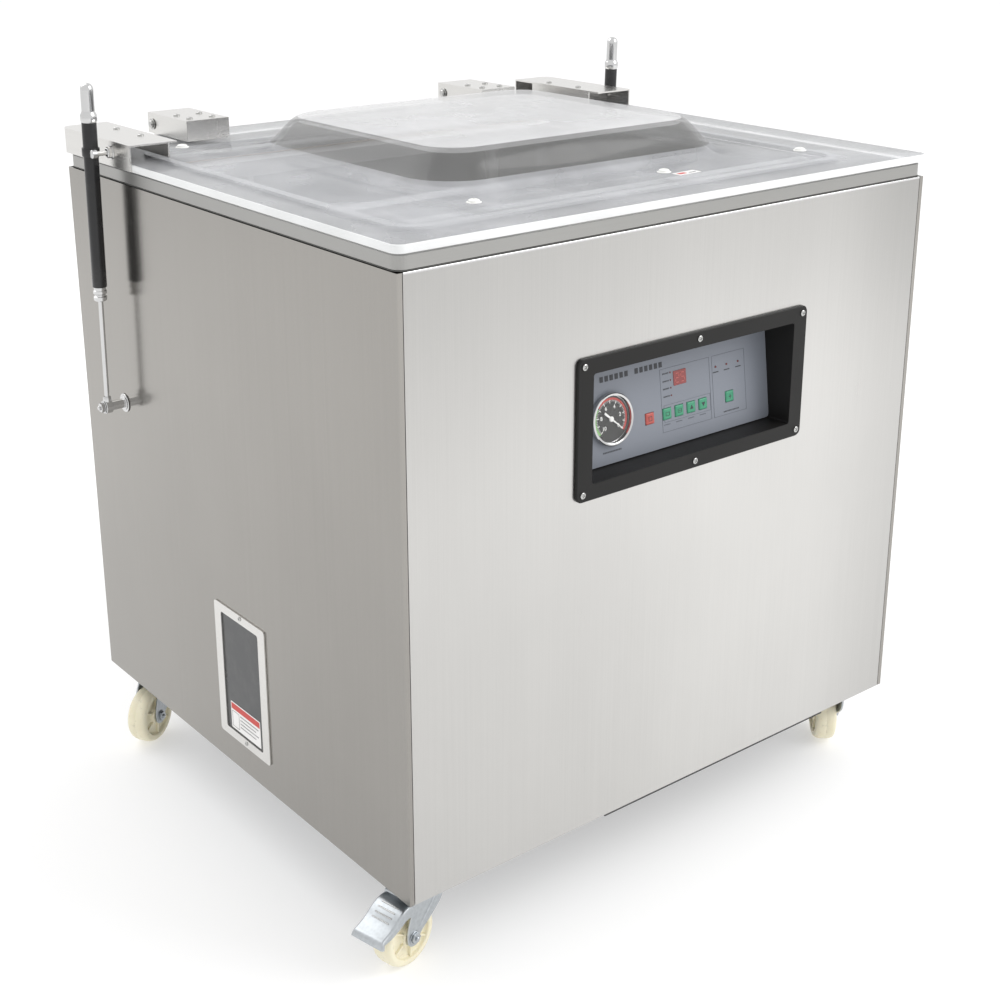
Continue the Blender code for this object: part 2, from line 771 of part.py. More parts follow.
def strut_tube(name, side, mat):
    """Tube with gland, collar and domed cap, open below for the rod, with the clamp and lug."""
    low = rod_exposed
    tube_low = low + gland_length
    tube_high = tube_low + tube_length
    collar_high = tube_high + collar_length
    cap_high = collar_high + cap_length
    rod_hole = rod_radius + touch
    profile = [
        (rod_hole, tube_low - 0.004), (rod_hole, low), (gland_radius - 0.001, low),
        (gland_radius, low + 0.001), (gland_radius, low + 0.006), (gland_radius - 0.0012, low + 0.007),
        (gland_radius - 0.0012, low + 0.009), (gland_radius, low + 0.010), (gland_radius, tube_low),
        (tube_radius, tube_low), (tube_radius, tube_high), (collar_radius, tube_high + 0.0006),
        (collar_radius, collar_high - 0.003), (cap_radius, collar_high), (cap_radius, cap_high - 0.007),
        (cap_radius * 0.80, cap_high - 0.003), (cap_radius * 0.45, cap_high - 0.0007),
        (0.0008, cap_high),
    ]
    bore = [(0.0008, tube_high - 0.004), (tube_bore, tube_high - 0.004), (tube_bore, tube_low - 0.004)]
    bm = bmesh.new()
    add_turned(bm, profile[::-1] + bore[::-1], 20)
    tube = add_object(name, bm, mat, smooth=True)
    height = lug_height()
    clamp = bmesh.new()
    ring = [(tube_radius - 0.0010, height - 0.005), (tube_radius + 0.0016, height - 0.005),
            (tube_radius + 0.0016, height + 0.005), (tube_radius - 0.0010, height + 0.005)]
    add_turned(clamp, ring, 20, closed=True)
    combine(tube, add_object("clamp", clamp, None), "UNION")
    outer = -lug_thickness if side < 0 else 0.0
    lug = bmesh.new()
    add_turned(lug, [(0.0052, outer), (0.0052, outer + lug_thickness)], 16,
               Matrix.Translation((0, -lug_forward, height)) @ along_x)
    lug_object = add_object("lug", lug, None)
    join_box(lug_object, (outer + 0.0005, -lug_forward, height - 0.0045),
             (outer + lug_thickness - 0.0005, -tube_radius + 0.0005, height + 0.0045))
    combine(tube, lug_object, "UNION")
    smooth_sharp(tube)
    place_strut(tube, side)


def strut_rod(name, side, mat):
    """Polished rod with the eye that turns on the anchor."""
    bm = bmesh.new()
    top = rod_exposed + rod_inside
    profile = [(rod_radius, 0.0065), (rod_radius, top - 0.001), (rod_radius - 0.001, top)]
    add_turned(bm, profile, 16)
    rod = add_object(name, bm, mat, smooth=True)
    eye = bmesh.new()
    hole = 0.0040 + touch
    section = [(hole, -0.0045), (0.0085, -0.0045), (0.0085, 0.0045), (hole, 0.0045)]
    add_turned(eye, section, 20, along_x, closed=True)
    combine(rod, add_object("eye", eye, None), "UNION")
    smooth_sharp(rod)
    place_strut(rod, side)


def strut_anchor(name, side, mat):
    """Shouldered bolt standing out of the side panel, with a washer and a nut outside the eye."""
    low = side_x + touch
    mid = strut_x
    profile = [
        (0.0100, low), (0.0100, low + 0.0020), (0.0070, low + 0.0020), (0.0070, low + 0.0075),
        (0.0062, low + 0.0075), (0.0062, mid - 0.0045 - touch), (0.0040, mid - 0.0045 - touch),
        (0.0040, mid + 0.0045 + touch), (0.0070, mid + 0.0045 + touch), (0.0070, mid + 0.0100),
        (0.0035, mid + 0.0100), (0.0035, mid + 0.0118),
    ]
    bm = bmesh.new()
    add_turned(bm, profile, 18, Matrix.Translation((0, anchor_y, anchor_z)) @ along_x)
    anchor = add_object(name, bm, mat, smooth=True)
    if side < 0:
        anchor.data.transform(Matrix.Diagonal((-1, 1, 1, 1)))
        anchor.data.flip_normals()


# ---------------------------------------------------------------- control panel

def panel_frame():
    """Panel's own frame: local X right, local Y up, local Z out of the front."""
    turn = Matrix.Rotation(math.pi / 2, 4, "X")
    return Matrix.Translation((panel_offset, front_y, panel_z)) @ turn


def face_frame():
    """Frame on the tilted face plate's front surface, at the recess's middle depth."""
    back = Matrix.Translation((0, 0, -recess_middle_depth))
    return panel_frame() @ back @ Matrix.Rotation(-recess_tilt, 4, "X")


def control_bezel(mat):
    """Bezel and recess walls in one moulding, open at the back where the face plate sits."""
    slope = math.tan(recess_tilt)
    flange_back = touch
    section = [
        (panel_width, panel_height, 0.008, flange_back, 0),
        (panel_width, panel_height, 0.008, bezel_proud - 0.001, 0),
        (panel_width - 0.002, panel_height - 0.002, 0.007, bezel_proud, 0),
        (recess_width, recess_height, 0.003, bezel_proud, 0),
        (recess_width, recess_height, 0.003, -recess_middle_depth - face_thickness - touch, 1),
        (recess_width + 2 * recess_wall, recess_height + 2 * recess_wall, 0.004,
         -recess_middle_depth - face_thickness - touch, 1),
        (recess_width + 2 * recess_wall, recess_height + 2 * recess_wall, 0.004, flange_back, 0),
    ]
    rings = []
    for width, height, radius, depth, sloped in section:
        outline = rounded_outline(width / 2, height / 2, radius)
        rings.append([Vector((x, y, depth - sloped * slope * y)) for x, y in outline])
    bm = bmesh.new()
    add_rings(bm, rings, closed=True)
    bezel = add_object("control_bezel", bm, mat)
    bezel.matrix_world = panel_frame()


def control_face(mat):
    """Tilted face plate with holes for the gauge and the keys."""
    half_w = recess_width / 2 - touch
    half_h = recess_height / 2 / math.cos(recess_tilt) - 0.0012
    bm = bmesh.new()
    add_prism(bm, rounded_outline(half_w, half_h, 0.004, 3), -face_thickness, 0.0)
    face = add_object("control_face", bm, mat)
    holes = bmesh.new()
    for u in key_places():
        half = key_size / 2 + touch
        add_box(holes, (u - half, key_row_v - half, -0.01), (u + half, key_row_v + half, 0.01))
    combine(face, add_object("cutter", holes, None), "DIFFERENCE")
    round_hole = bmesh.new()
    radius = gauge_radius - 0.002 + touch
    add_turned(round_hole, [(radius, -0.01), (radius, 0.01)], 28, Matrix.Translation((gauge_u, gauge_v, 0)))
    combine(face, add_object("cutter", round_hole, None), "DIFFERENCE")
    face.matrix_world = face_frame()


def key_places():
    row = [first_key_u + key_pitch * i for i in range(4)]
    return [stop_key_u] + row + [mode_key_u]


def control_keys(red, green):
    names = ["key_stop", "key_1", "key_2", "key_3", "key_4", "key_mode"]
    for name, u in zip(names, key_places()):
        half = key_size / 2
        back = -face_thickness - 0.001
        bm = bmesh.new()
        rings = [
            [(x, y, back) for x, y in rounded_outline(half, half, 0.0015, 2)],
            [(x, y, key_proud - 0.0006) for x, y in rounded_outline(half, half, 0.0015, 2)],
            [(x, y, key_proud) for x, y in rounded_outline(half - 0.0006, half - 0.0006, 0.0010, 2)],
        ]
        add_rings(bm, rings)
        key = add_object(name, bm, red if name == "key_stop" else green)
        key.matrix_world = face_frame() @ Matrix.Translation((u, key_row_v, 0))


def gauge(case_mat, needle_mat, glass_mat):
    """Case with its dial floor, needle on a small boss, and the lens snapped into the rim."""
    place = face_frame() @ Matrix.Translation((gauge_u, gauge_v, 0))
    body = gauge_radius - 0.002
    floor = 0.0005
    lens_low = gauge_proud - 0.0030
    profile = [
        (0.0012, floor), (body - 0.0015, floor), (body - 0.0015, gauge_proud - 0.0005),
        (body, gauge_proud), (gauge_radius - 0.0005, gauge_proud - 0.0004),
        (gauge_radius, gauge_proud - 0.0015), (gauge_radius, touch), (body, touch),
        (body, -gauge_case_depth), (0.0012, -gauge_case_depth),
    ]
    bm = bmesh.new()
    add_turned(bm, profile, 32)
    case = add_object("gauge_case", bm, case_mat, smooth=True)
    case.matrix_world = place

    lens_radius = body - 0.0015 - touch
    bm = bmesh.new()
    add_turned(bm, [(lens_radius, lens_low), (lens_radius, lens_low + 0.0015)], 32)
    lens = add_object("gauge_lens", bm, glass_mat, smooth=True)
    lens.matrix_world = place

    blade = [(-0.0011, -0.0070), (0.0011, -0.0070), (0.0009, 0.0), (0.00035, 0.0205), (-0.00035, 0.0205),
             (-0.0009, 0.0)]
    bm = bmesh.new()
    add_prism(bm, blade, floor + 0.0008, floor + 0.0014)
    needle = add_object("gauge_needle", bm, needle_mat)
    hub = bmesh.new()
    add_turned(hub, [(0.0026, floor + touch), (0.0026, floor + 0.0019)], 16)
    combine(needle, add_object("hub", hub, None), "UNION")
    needle.matrix_world = place @ Matrix.Rotation(math.radians(228), 4, "Z")


# ---------------------------------------------------------------- pump window

def pump_window(steel, smoked):
    """Frame standing on the left side panel, with the pane seated in the panel's cut-out."""
    centre = Vector((-side_x, front_y + window_from_front, bottom_z + window_above_bottom))
    # local X forwards along the side, local Y up, local Z out of the side
    turn = Matrix(((0, 0, -1, 0), (-1, 0, 0, 0), (0, 1, 0, 0), (0, 0, 0, 1)))
    place = Matrix.Translation(centre) @ turn
    lap = 0.0030
    section = [
        (window_frame_width, window_frame_height, 0.004, touch),
        (window_frame_width, window_frame_height, 0.004, window_proud),
        (pane_width - 2 * lap, pane_height - 2 * lap, 0.003, window_proud),
        (pane_width - 2 * lap, pane_height - 2 * lap, 0.003, touch),
    ]
    bm = bmesh.new()
    rings = [[Vector((x, y, z)) for x, y in rounded_outline(w / 2, h / 2, r, 3)] for w, h, r, z in section]
    add_rings(bm, rings, closed=True)
    frame = add_object("window_frame", bm, steel)
    frame.matrix_world = place
    half_w = pane_width / 2 - touch
    half_h = pane_height / 2 - touch
    pane = box_object("window_pane", (-half_w, -half_h, -0.003), (half_w, half_h, 0.0), smoked)
    pane.matrix_world = place


# ---------------------------------------------------------------- casters

def caster_places():
    x = side_x - caster_inset
    near = front_y + caster_inset
    far = rear_y - caster_inset
    return [
        ("front_left", -x, near, 192.0, True),
        ("front_right", x, near, 50.0, True),
        ("rear_left", -x, far, -150.0, False),
        ("rear_right", x, far, -125.0, False),
    ]


def casters(steel, nylon):
    for where, x, y, heading, braked in caster_places():
        turn = Matrix.Translation((x, y, 0)) @ Matrix.Rotation(math.radians(heading), 4, "Z")
        caster_plate("caster_plate_" + where, turn, heading, steel)
        caster_fork("caster_fork_" + where, turn, steel)
        caster_wheel("caster_wheel_" + where, turn, nylon)
        if braked:
            brake_pedal("brake_pedal_" + where, turn, steel)


def caster_plate(name, turn, heading, mat):
    """Bolt-on plate, square to the cabinet, with the ball race under it."""
    top = caster_height - touch
    low = top - plate_thickness
    plate = box_object(name, (-plate_length / 2, -plate_width / 2, low),
                       (plate_length / 2, plate_width / 2, top), mat)
    race = bmesh.new()
    add_turned(race, [(0.024, low - race_height + 0.0005), (0.0285, low - race_height + 0.003),
                      (0.0285, low + 0.001)], 24)
    combine(plate, add_object("race", race, None), "UNION")
    plate.matrix_world = turn @ Matrix.Rotation(math.radians(-heading), 4, "Z")


def caster_fork(name, turn, mat):
    """Crown disc, two tapered legs and the axle bolt through them."""
    crown_low = crown_top - crown_thickness
    bm = bmesh.new()
    crown = [(crown_radius - 0.002, crown_low), (crown_radius, crown_low + 0.002), (crown_radius, crown_top)]
    add_turned(bm, crown, 24)
    fork = add_object(name, bm, mat)
    inner = wheel_width / 2 + fork_gap
    outer = inner + fork_sheet
    boss = 0.011
    leg = [(-0.020, crown_low + 0.001), (-0.018, crown_low - 0.010), (caster_trail - boss, wheel_radius)]
    for step in range(1, 6):
        angle = math.pi + math.pi * step / 6
        leg.append((caster_trail + boss * math.cos(angle), wheel_radius + boss * math.sin(angle)))
    leg += [(caster_trail + boss, wheel_radius), (0.030, crown_low - 0.010), (0.026, crown_low + 0.001)]
    stand = Matrix.Rotation(math.pi / 2, 4, "X")
    for sign in (-1, 1):
        bm = bmesh.new()
        low, high = sorted((sign * inner, sign * outer))
        add_prism(bm, leg, low, high, stand)
        combine(fork, add_object("leg", bm, None), "UNION")
    axle = bmesh.new()
    axle_profile = [
        (0.0065, -outer - 0.004), (0.0065, -outer + 0.001), (axle_radius, -outer + 0.001),
        (axle_radius, outer - 0.001), (0.0065, outer - 0.001), (0.0065, outer + 0.004),
    ]
    add_turned(axle, axle_profile, 18, Matrix.Translation((caster_trail, 0, wheel_radius)) @ stand)
    combine(fork, add_object("axle", axle, None), "UNION")
    fork.matrix_world = turn


def caster_wheel(name, turn, mat):
    """Moulded tread with rounded shoulders, a recessed web and a hub bored for the axle."""
    half = wheel_width / 2
    rim = wheel_radius
    profile = [
        (wheel_bore, -half), (0.011, -half), (0.013, -half + 0.004), (rim * 0.72, -half + 0.004),
        (rim * 0.76, -half + 0.0005), (rim * 0.90, -half + 0.0005), (rim * 0.97, -half + 0.003),
        (rim, -half * 0.35), (rim, half * 0.35), (rim * 0.97, half - 0.003), (rim * 0.90, half - 0.0005),
        (rim * 0.76, half - 0.0005), (rim * 0.72, half - 0.004), (0.013, half - 0.004), (0.011, half),
        (wheel_bore, half),
    ]
    stand = Matrix.Rotation(math.pi / 2, 4, "X")
    bm = bmesh.new()
    add_turned(bm, profile, 32, stand, closed=True)
    wheel = add_object(name, bm, mat, smooth=True)
    wheel.matrix_world = turn @ Matrix.Translation((caster_trail, 0, wheel_radius))


def brake_pedal(name, turn, mat):
    """Foot lever over the wheel: a sloping tread with a turned-down toe, hinged at the crown."""
    half = pedal_width / 2
    length = pedal_reach - pedal_hinge_x
    drop = 0.015
    t = pedal_thickness
    outline = [
        (0.0, -t / 2), (length * 0.45, -t / 2 - drop * 0.35), (length - t, -drop - t),
        (length - t, -drop - 0.012), (length, -drop - 0.012), (length, -drop),
        (length * 0.50, t / 2 - drop * 0.35), (0.0, t / 2),
    ]
    bm = bmesh.new()
    add_prism(bm, outline, -half, half, Matrix.Rotation(math.pi / 2, 4, "X"))
    pedal = add_object(name, bm, mat)
    pedal.matrix_world = turn @ Matrix.Translation((pedal_hinge_x, 0, crown_top - crown_thickness + 0.0005))


# ---------------------------------------------------------------- inside and rear

def frame_top():
    """Height at which pieces rest on the base frame."""
    return bottom_z + sheet + touch + tube_size + touch


def pump_set(iron, motor_mat, rubber):
    """Rotary pump with its oil box behind the window, and the motor on the same line."""
    floor_z = frame_top() - pump_sink
    pump_x = pump_from_left - side_x
    y = front_y + window_from_front
    pump = box_object("vacuum_pump", (pump_x, y - pump_depth / 2, floor_z),
                      (pump_x + pump_length, y + pump_depth / 2, floor_z + pump_height), iron)
    fins = bmesh.new()
    for i in range(6):
        x = pump_x + 0.060 + i * 0.020
        add_box(fins, (x, y - pump_depth / 2 - 0.01, floor_z + 0.06),
                (x + 0.010, y - pump_depth / 2 + 0.012, floor_z + pump_height + 0.01))
    combine(pump, add_object("cutter", fins, None), "DIFFERENCE")

    motor_x = pump_x + pump_length + touch
    motor_z = floor_z + pump_axis
    profile = [
        (0.045, motor_x), (0.045, motor_x + 0.015), (motor_radius, motor_x + 0.025),
        (motor_radius, motor_x + motor_length - 0.040), (motor_radius - 0.004, motor_x + motor_length - 0.038),
        (motor_radius - 0.004, motor_x + motor_length - 0.005), (motor_radius - 0.010, motor_x + motor_length),
    ]
    bm = bmesh.new()
    add_turned(bm, profile, 28, Matrix.Translation((0, y, motor_z)) @ along_x)
    motor = add_object("pump_motor", bm, motor_mat)
    foot_z = bottom_z - tray_drop + tray_sheet + touch
    join_box(motor, (motor_x + motor_foot_reach[0], y - motor_foot_width / 2, foot_z),
             (motor_x + motor_foot_reach[1], y + motor_foot_width / 2, motor_z - motor_radius / 2))

    port = port_place()
    start = Vector((pump_x + 0.150, y + 0.030, floor_z + pump_height + touch))
    suction_hose(start, Vector((port.x, port.y, port.z - deck_sheet - touch)), rubber)


def suction_hose(start, end, mat):
    """Hose from the pump's inlet up to the chamber's port, swept along a smooth curve."""
    lift = Vector((0, 0, hose_lift))
    controls = [start, start + lift, end - lift, end]
    rings = []
    count = 14
    for i in range(count + 1):
        t = i / count
        weights = [(1 - t) ** 3, 3 * t * (1 - t) ** 2, 3 * t * t * (1 - t), t ** 3]
        slopes = [-3 * (1 - t) ** 2, 3 * (1 - t) * (1 - 3 * t), 3 * t * (2 - 3 * t), 3 * t * t]
        point = sum((c * w for c, w in zip(controls, weights)), Vector())
        forward = sum((c * s for c, s in zip(controls, slopes)), Vector()).normalized()
        side = forward.cross(Vector((0, 1, 0))).normalized()
        other = forward.cross(side)
        ring = []
        for k in range(10):
            angle = 2 * math.pi * k / 10
            ring.append(point + hose_radius * (side * math.cos(angle) + other * math.sin(angle)))
        rings.append(ring)
    bm = bmesh.new()
    add_rings(bm, rings)
    add_object("suction_hose", bm, mat, smooth=True)


def electrics(steel, brass, green_board, black):
    """Seal transformer, solenoid valve and relay board, and the cable gland at the rear."""
    high_corner = Vector((side_x - transformer_from_right, rear_y - transformer_from_rear,
                          frame_top() - transformer_sink + transformer_size[2]))
    box_object("seal_transformer", high_corner - Vector(transformer_size), high_corner, steel)
    low_corner = Vector((board_from_left - side_x, front_y + board_from_front, panel_z - board_below_panel))
    box_object("control_board", low_corner, low_corner + Vector(board_size), green_board)
    port = port_place()
    valve_y = port.y + valve_behind_port
    valve_low = port.z - deck_sheet - valve_size[2]
    half_x = valve_size[0] / 2
    half_y = valve_size[1] / 2
    valve = box_object("air_valve", (port.x - half_x, valve_y - half_y, valve_low),
                       (port.x + half_x, valve_y + half_y, port.z - deck_sheet - touch), brass)
    coil = bmesh.new()
    add_turned(coil, [(coil_radius, valve_low - coil_length), (coil_radius, valve_low + 0.002)], 20,
               Matrix.Translation((port.x, valve_y, 0)))
    combine(valve, add_object("coil", coil, None), "UNION")

    inlet_x, inlet_z = inlet_place()
    profile = [
        (0.0045, rear_y - 0.012), (gland_hex * 0.6, rear_y - 0.012), (gland_hex * 0.6, rear_y + touch),
        (gland_hex, rear_y + touch), (gland_hex, rear_y + 0.006), (gland_hex * 0.8, rear_y + 0.008),
        (gland_hex * 0.75, rear_y + 0.018), (0.0065, rear_y + 0.020), (0.0045, rear_y + 0.020),
    ]
    bm = bmesh.new()
    add_turned(bm, profile, 20, Matrix.Translation((inlet_x, 0, inlet_z)) @ along_y, closed=True)
    add_object("cable_gland", bm, black, smooth=True)


# ---------------------------------------------------------------- build

def build():
    clear_scene()
    steel = make_material("brushed_steel", (0.62, 0.61, 0.59), 0.32, 1.0)
    satin = make_material("satin_steel", (0.66, 0.65, 0.63), 0.28, 1.0)
    frame_paint = make_material("frame_paint", (0.20, 0.21, 0.22), 0.6, 0.0)
    tray_black = make_material("tray_black", (0.03, 0.03, 0.03), 0.6, 0.0)
    acrylic = make_material("clear_acrylic", (0.88, 0.90, 0.92), 0.05, 0.0, 0.35)
    silicone = make_material("silicone", (0.78, 0.78, 0.76), 0.55, 0.0)
    aluminium = make_material("aluminium", (0.75, 0.75, 0.76), 0.35, 1.0)
    chrome = make_material("chrome", (0.80, 0.80, 0.80), 0.08, 1.0)
    black_tube = make_material("black_paint", (0.015, 0.015, 0.017), 0.35, 0.0)
    black_plastic = make_material("black_plastic", (0.02, 0.02, 0.02), 0.45, 0.0)
    face_grey = make_material("face_grey", (0.42, 0.47, 0.53), 0.5, 0.0)
    red = make_material("key_red", (0.65, 0.05, 0.04), 0.4, 0.0)
    green = make_material("key_green", (0.03, 0.42, 0.20), 0.4, 0.0)
    white = make_material("needle_white", (0.9, 0.9, 0.9), 0.5, 0.0)
    glass = make_material("gauge_glass", (0.95, 0.95, 0.95), 0.02, 0.0, 0.25)
    smoked = make_material("smoked_pane", (0.06, 0.06, 0.065), 0.12, 0.0)
    zinc = make_material("zinc_steel", (0.62, 0.64, 0.66), 0.4, 1.0)
    nylon = make_material("cream_nylon", (0.86, 0.80, 0.62), 0.45, 0.0)
    iron = make_material("cast_iron", (0.16, 0.20, 0.24), 0.6, 0.3)
    motor_paint = make_material("motor_paint", (0.18, 0.20, 0.22), 0.5, 0.2)
    rubber = make_material("hose_rubber", (0.04, 0.04, 0.04), 0.7, 0.0)
    brass = make_material("brass", (0.70, 0.55, 0.28), 0.35, 1.0)
    board = make_material("board_green", (0.05, 0.25, 0.12), 0.5, 0.0)

    cabinet_panels(steel)
    chassis_frame(frame_paint)
    base_tray(tray_black)
    chamber_deck(satin)
    chamber_tub(satin)
    lid(acrylic)
    lid_gasket(silicone)
    for where, side in (("front", -1), ("rear", 1)):
        seal_bar("seal_bar_" + where, side, aluminium)
        counter_bar("counter_bar_" + where, side, silicone)
    for where, side in (("left", -1), ("right", 1)):
        hinge_arm("hinge_arm_" + where, side, satin)
        hinge_base("hinge_base_" + where, side, satin)
        strut_bracket("strut_bracket_" + where, side, satin)
        strut_tube("strut_tube_" + where, side, black_tube)
        strut_rod("strut_rod_" + where, side, chrome)
        strut_anchor("strut_anchor_" + where, side, chrome)
    control_bezel(black_plastic)
    control_face(face_grey)
    control_keys(red, green)
    gauge(chrome, white, glass)
    pump_window(satin, smoked)
    casters(zinc, nylon)
    pump_set(iron, motor_paint, rubber)
    electrics(zinc, brass, board, black_plastic)


build()
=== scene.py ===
import json
import math

import bmesh
import bpy
import numpy as np
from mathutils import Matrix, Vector


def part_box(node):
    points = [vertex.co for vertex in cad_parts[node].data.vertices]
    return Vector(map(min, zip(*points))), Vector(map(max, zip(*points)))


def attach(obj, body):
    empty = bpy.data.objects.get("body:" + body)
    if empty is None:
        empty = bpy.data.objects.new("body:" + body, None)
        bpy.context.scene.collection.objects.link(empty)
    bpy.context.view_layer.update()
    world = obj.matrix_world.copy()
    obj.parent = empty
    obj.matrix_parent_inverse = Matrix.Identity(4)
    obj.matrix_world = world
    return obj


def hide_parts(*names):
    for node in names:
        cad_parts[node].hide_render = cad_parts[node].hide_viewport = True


# Looks of a floor-standing chamber vacuum sealer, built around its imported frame.
# Metres, +Z up, front towards -Y; every place comes from the frame's boxes and joints.

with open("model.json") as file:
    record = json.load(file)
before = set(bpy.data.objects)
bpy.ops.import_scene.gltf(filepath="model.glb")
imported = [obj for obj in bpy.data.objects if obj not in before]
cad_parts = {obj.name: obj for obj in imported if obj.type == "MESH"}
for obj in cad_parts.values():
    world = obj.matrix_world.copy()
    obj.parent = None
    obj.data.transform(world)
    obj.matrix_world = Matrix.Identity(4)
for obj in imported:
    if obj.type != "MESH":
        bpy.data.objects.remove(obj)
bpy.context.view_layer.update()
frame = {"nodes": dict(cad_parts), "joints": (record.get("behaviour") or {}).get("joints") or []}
nodes = frame["nodes"]
joints = {joint["name"]: joint for joint in frame["joints"]}
print("frame loaded:", len(nodes), "nodes")

bpy.context.scene.view_settings.view_transform = "Standard"


def boxOf(name):
    low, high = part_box(name)
    return np.array(low), np.array(high)


def jointPlace(name):
    return np.array(joints[name]["pos_m"], float)


def jointAxis(name):
    return np.array(joints[name]["axis"], float)


def unit(vector):
    vector = np.array(vector, float)
    return vector / np.linalg.norm(vector)


def basis(origin, x, y, z):
    # matrix whose columns are three axes and the origin
    matrix = np.eye(4)
    matrix[:3, :3] = np.stack([x, y, z], 1)
    matrix[:3, 3] = origin
    return matrix


def axes(origin, along, up):
    # x = along, z = x cross up, y square to both
    x = unit(along)
    z = unit(np.cross(x, up))
    return basis(origin, x, np.cross(z, x), z)


def facing(origin, normal, turn=0.0):
    # z = normal, and x turned about it by an angle
    z = unit(normal)
    helper = np.array([0, 0, 1.0]) if abs(z[2]) < 0.9 else np.array([1.0, 0, 0])
    x = unit(np.cross(helper, z))
    y = np.cross(z, x)
    return basis(origin, x * math.cos(turn) + y * math.sin(turn), y * math.cos(turn) - x * math.sin(turn), z)


def standing(x, y, heading):
    # upright at x and y, its own x turned to a heading
    c, s = math.cos(heading), math.sin(heading)
    return basis((x, y, 0), (c, s, 0), (-s, c, 0), (0, 0, 1))


def shift(x, y, z):
    return basis((x, y, z), *np.eye(3))


def titled(name):
    return "".join(word.title() for word in name.split("_"))


def added(name, data):
    made = bpy.data.objects.new(name, data)
    bpy.context.scene.collection.objects.link(made)
    return made


def pointsOf(mesh):
    points = np.empty(len(mesh.vertices) * 3)
    mesh.vertices.foreach_get("co", points)
    return points.reshape(-1, 3)


def moved(points, matrix):
    # each point p becomes R p + origin
    return points if matrix is None else points @ matrix[:3, :3].T + matrix[:3, 3]


def turned(profile, sides=48, matrix=None):
    # point (i, j) = (r_i cos a_j, r_i sin a_j, h_i): a profile of radii and heights turned about z
    profile = np.array(profile, float)
    angle = np.linspace(0, 2 * np.pi, sides, endpoint=False)
    ring = np.stack([np.cos(angle), np.sin(angle)], 1)
    flat = profile[:, None, :1] * ring[None]
    height = np.broadcast_to(profile[:, None, 1:], flat.shape[:2] + (1,))
    return moved(np.concatenate([flat, height], 2), matrix)


def roundRect(halfX, halfY, radius, steps=8):
    # four quarter circles of one radius about the corner centres, counter-clockwise
    angle = np.linspace(0, np.pi / 2, steps + 1)[None] + np.arange(4)[:, None] * np.pi / 2
    signX = np.array([1, -1, -1, 1])[:, None]
    signY = np.array([1, 1, -1, -1])[:, None]
    x = signX * (halfX - radius) + radius * np.cos(angle)
    y = signY * (halfY - radius) + radius * np.sin(angle)
    return np.stack([x.ravel(), y.ravel()], 1)


def smoothCurve(controls, count):
    # Catmull-Rom: a cubic between each two controls, its end slopes half the chord of the neighbours
    p = np.array(controls, float)
    p = np.vstack([2 * p[0] - p[1], p, 2 * p[-1] - p[-2]])
    t = np.linspace(0, len(p) - 3, count)
    k = np.minimum(t.astype(int), len(p) - 4)
    f = (t - k)[:, None]
    a, b, c, d = p[k], p[k + 1], p[k + 2], p[k + 3]
    return 0.5 * (2 * b + (c - a) * f + (2 * a - 5 * b + 4 * c - d) * f ** 2 + (3 * b - a - 3 * c + d) * f ** 3)


def ringsOf(outline, levels, matrix=None):
    # rings of one outline, drawn in by levels[i][0] along its own normals at height levels[i][1]
    outline = np.array(outline, float)
    along = np.roll(outline, -1, 0) - np.roll(outline, 1, 0)
    normal = np.stack([along[:, 1], -along[:, 0]], 1) / np.linalg.norm(along, axis=1)[:, None]
    rings = []
    for inset, height in levels:
        rings.append(np.column_stack([outline - inset * normal, np.full(len(outline), height)]))
    return moved(np.array(rings), matrix)


class Shape:
    # gathers grids of points into one mesh; mark is the number of the finish a part takes
    def __init__(self):
        self.points, self.faces, self.marks, self.count = [], [], [], 0

    def grid(self, points, closed=False, mark=0):
        # points[i, j] is place j of ring i; quads join neighbours and flat faces close the end rings
        rows, cols = points.shape[:2]
        index = np.arange(rows * cols).reshape(rows, cols) + self.count
        ends = [] if closed else [(index[0], 0), (index[-1], -1)]
        index = np.hstack([index, index[:, :1]])
        if closed:
            index = np.vstack([index, index[:1]])
        quads = np.stack([index[:-1, :-1], index[:-1, 1:], index[1:, 1:], index[1:, :-1]], 2)
        self.faces.append(quads.reshape(-1, 4))
        perRow = np.broadcast_to(np.atleast_1d(mark)[:, None], quads.shape[:2]) if np.ndim(mark) else mark
        self.marks.append(np.broadcast_to(perRow, quads.shape[:2]).ravel())
        for end, which in ends:
            self.faces.append(end[None])
            self.marks.append(np.array([np.ravel(mark)[which]]))
        self.points.append(points.reshape(-1, 3))
        self.count += rows * cols
        return self

    def slab(self, outline, low, high, matrix=None, edge=0.0003, mark=0):
        # an outline raised from low to high, with a small chamfer round both faces
        edge = min(edge, (high - low) * 0.4)
        levels = [(edge, low), (0, low + edge), (0, high - edge), (edge, high)]
        return self.grid(ringsOf(outline, levels, matrix), mark=mark)

    def block(self, low, high, matrix=None, edge=0.0003, mark=0):
        # a box between two corners, chamfered
        low, high = np.array(low, float), np.array(high, float)
        outline = [(high[0], high[1]), (low[0], high[1]), (low[0], low[1]), (high[0], low[1])]
        return self.slab(outline, low[2], high[2], matrix, edge, mark)

    def make(self, name, finishes, body, slot, replaces=(), sharp=32):
        mesh = bpy.data.meshes.new(name)
        mesh.from_pydata(np.vstack(self.points).tolist(), [], [f for part in self.faces for f in part.tolist()])
        mesh.polygons.foreach_set("material_index", np.concatenate(self.marks).astype(np.int32))
        work = bmesh.new()
        work.from_mesh(mesh)
        bmesh.ops.remove_doubles(work, verts=work.verts, dist=1e-6)
        bmesh.ops.recalc_face_normals(work, faces=work.faces)
        work.to_mesh(mesh)
        work.free()
        mesh.shade_smooth()
        mesh.set_sharp_from_angle(angle=math.radians(sharp))
        piece = added(name, mesh)
        for finish in finishes if isinstance(finishes, (list, tuple)) else [finishes]:
            mesh.materials.append(finish)
        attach(piece, body)
        if replaces:
            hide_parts(*replaces)
        return piece


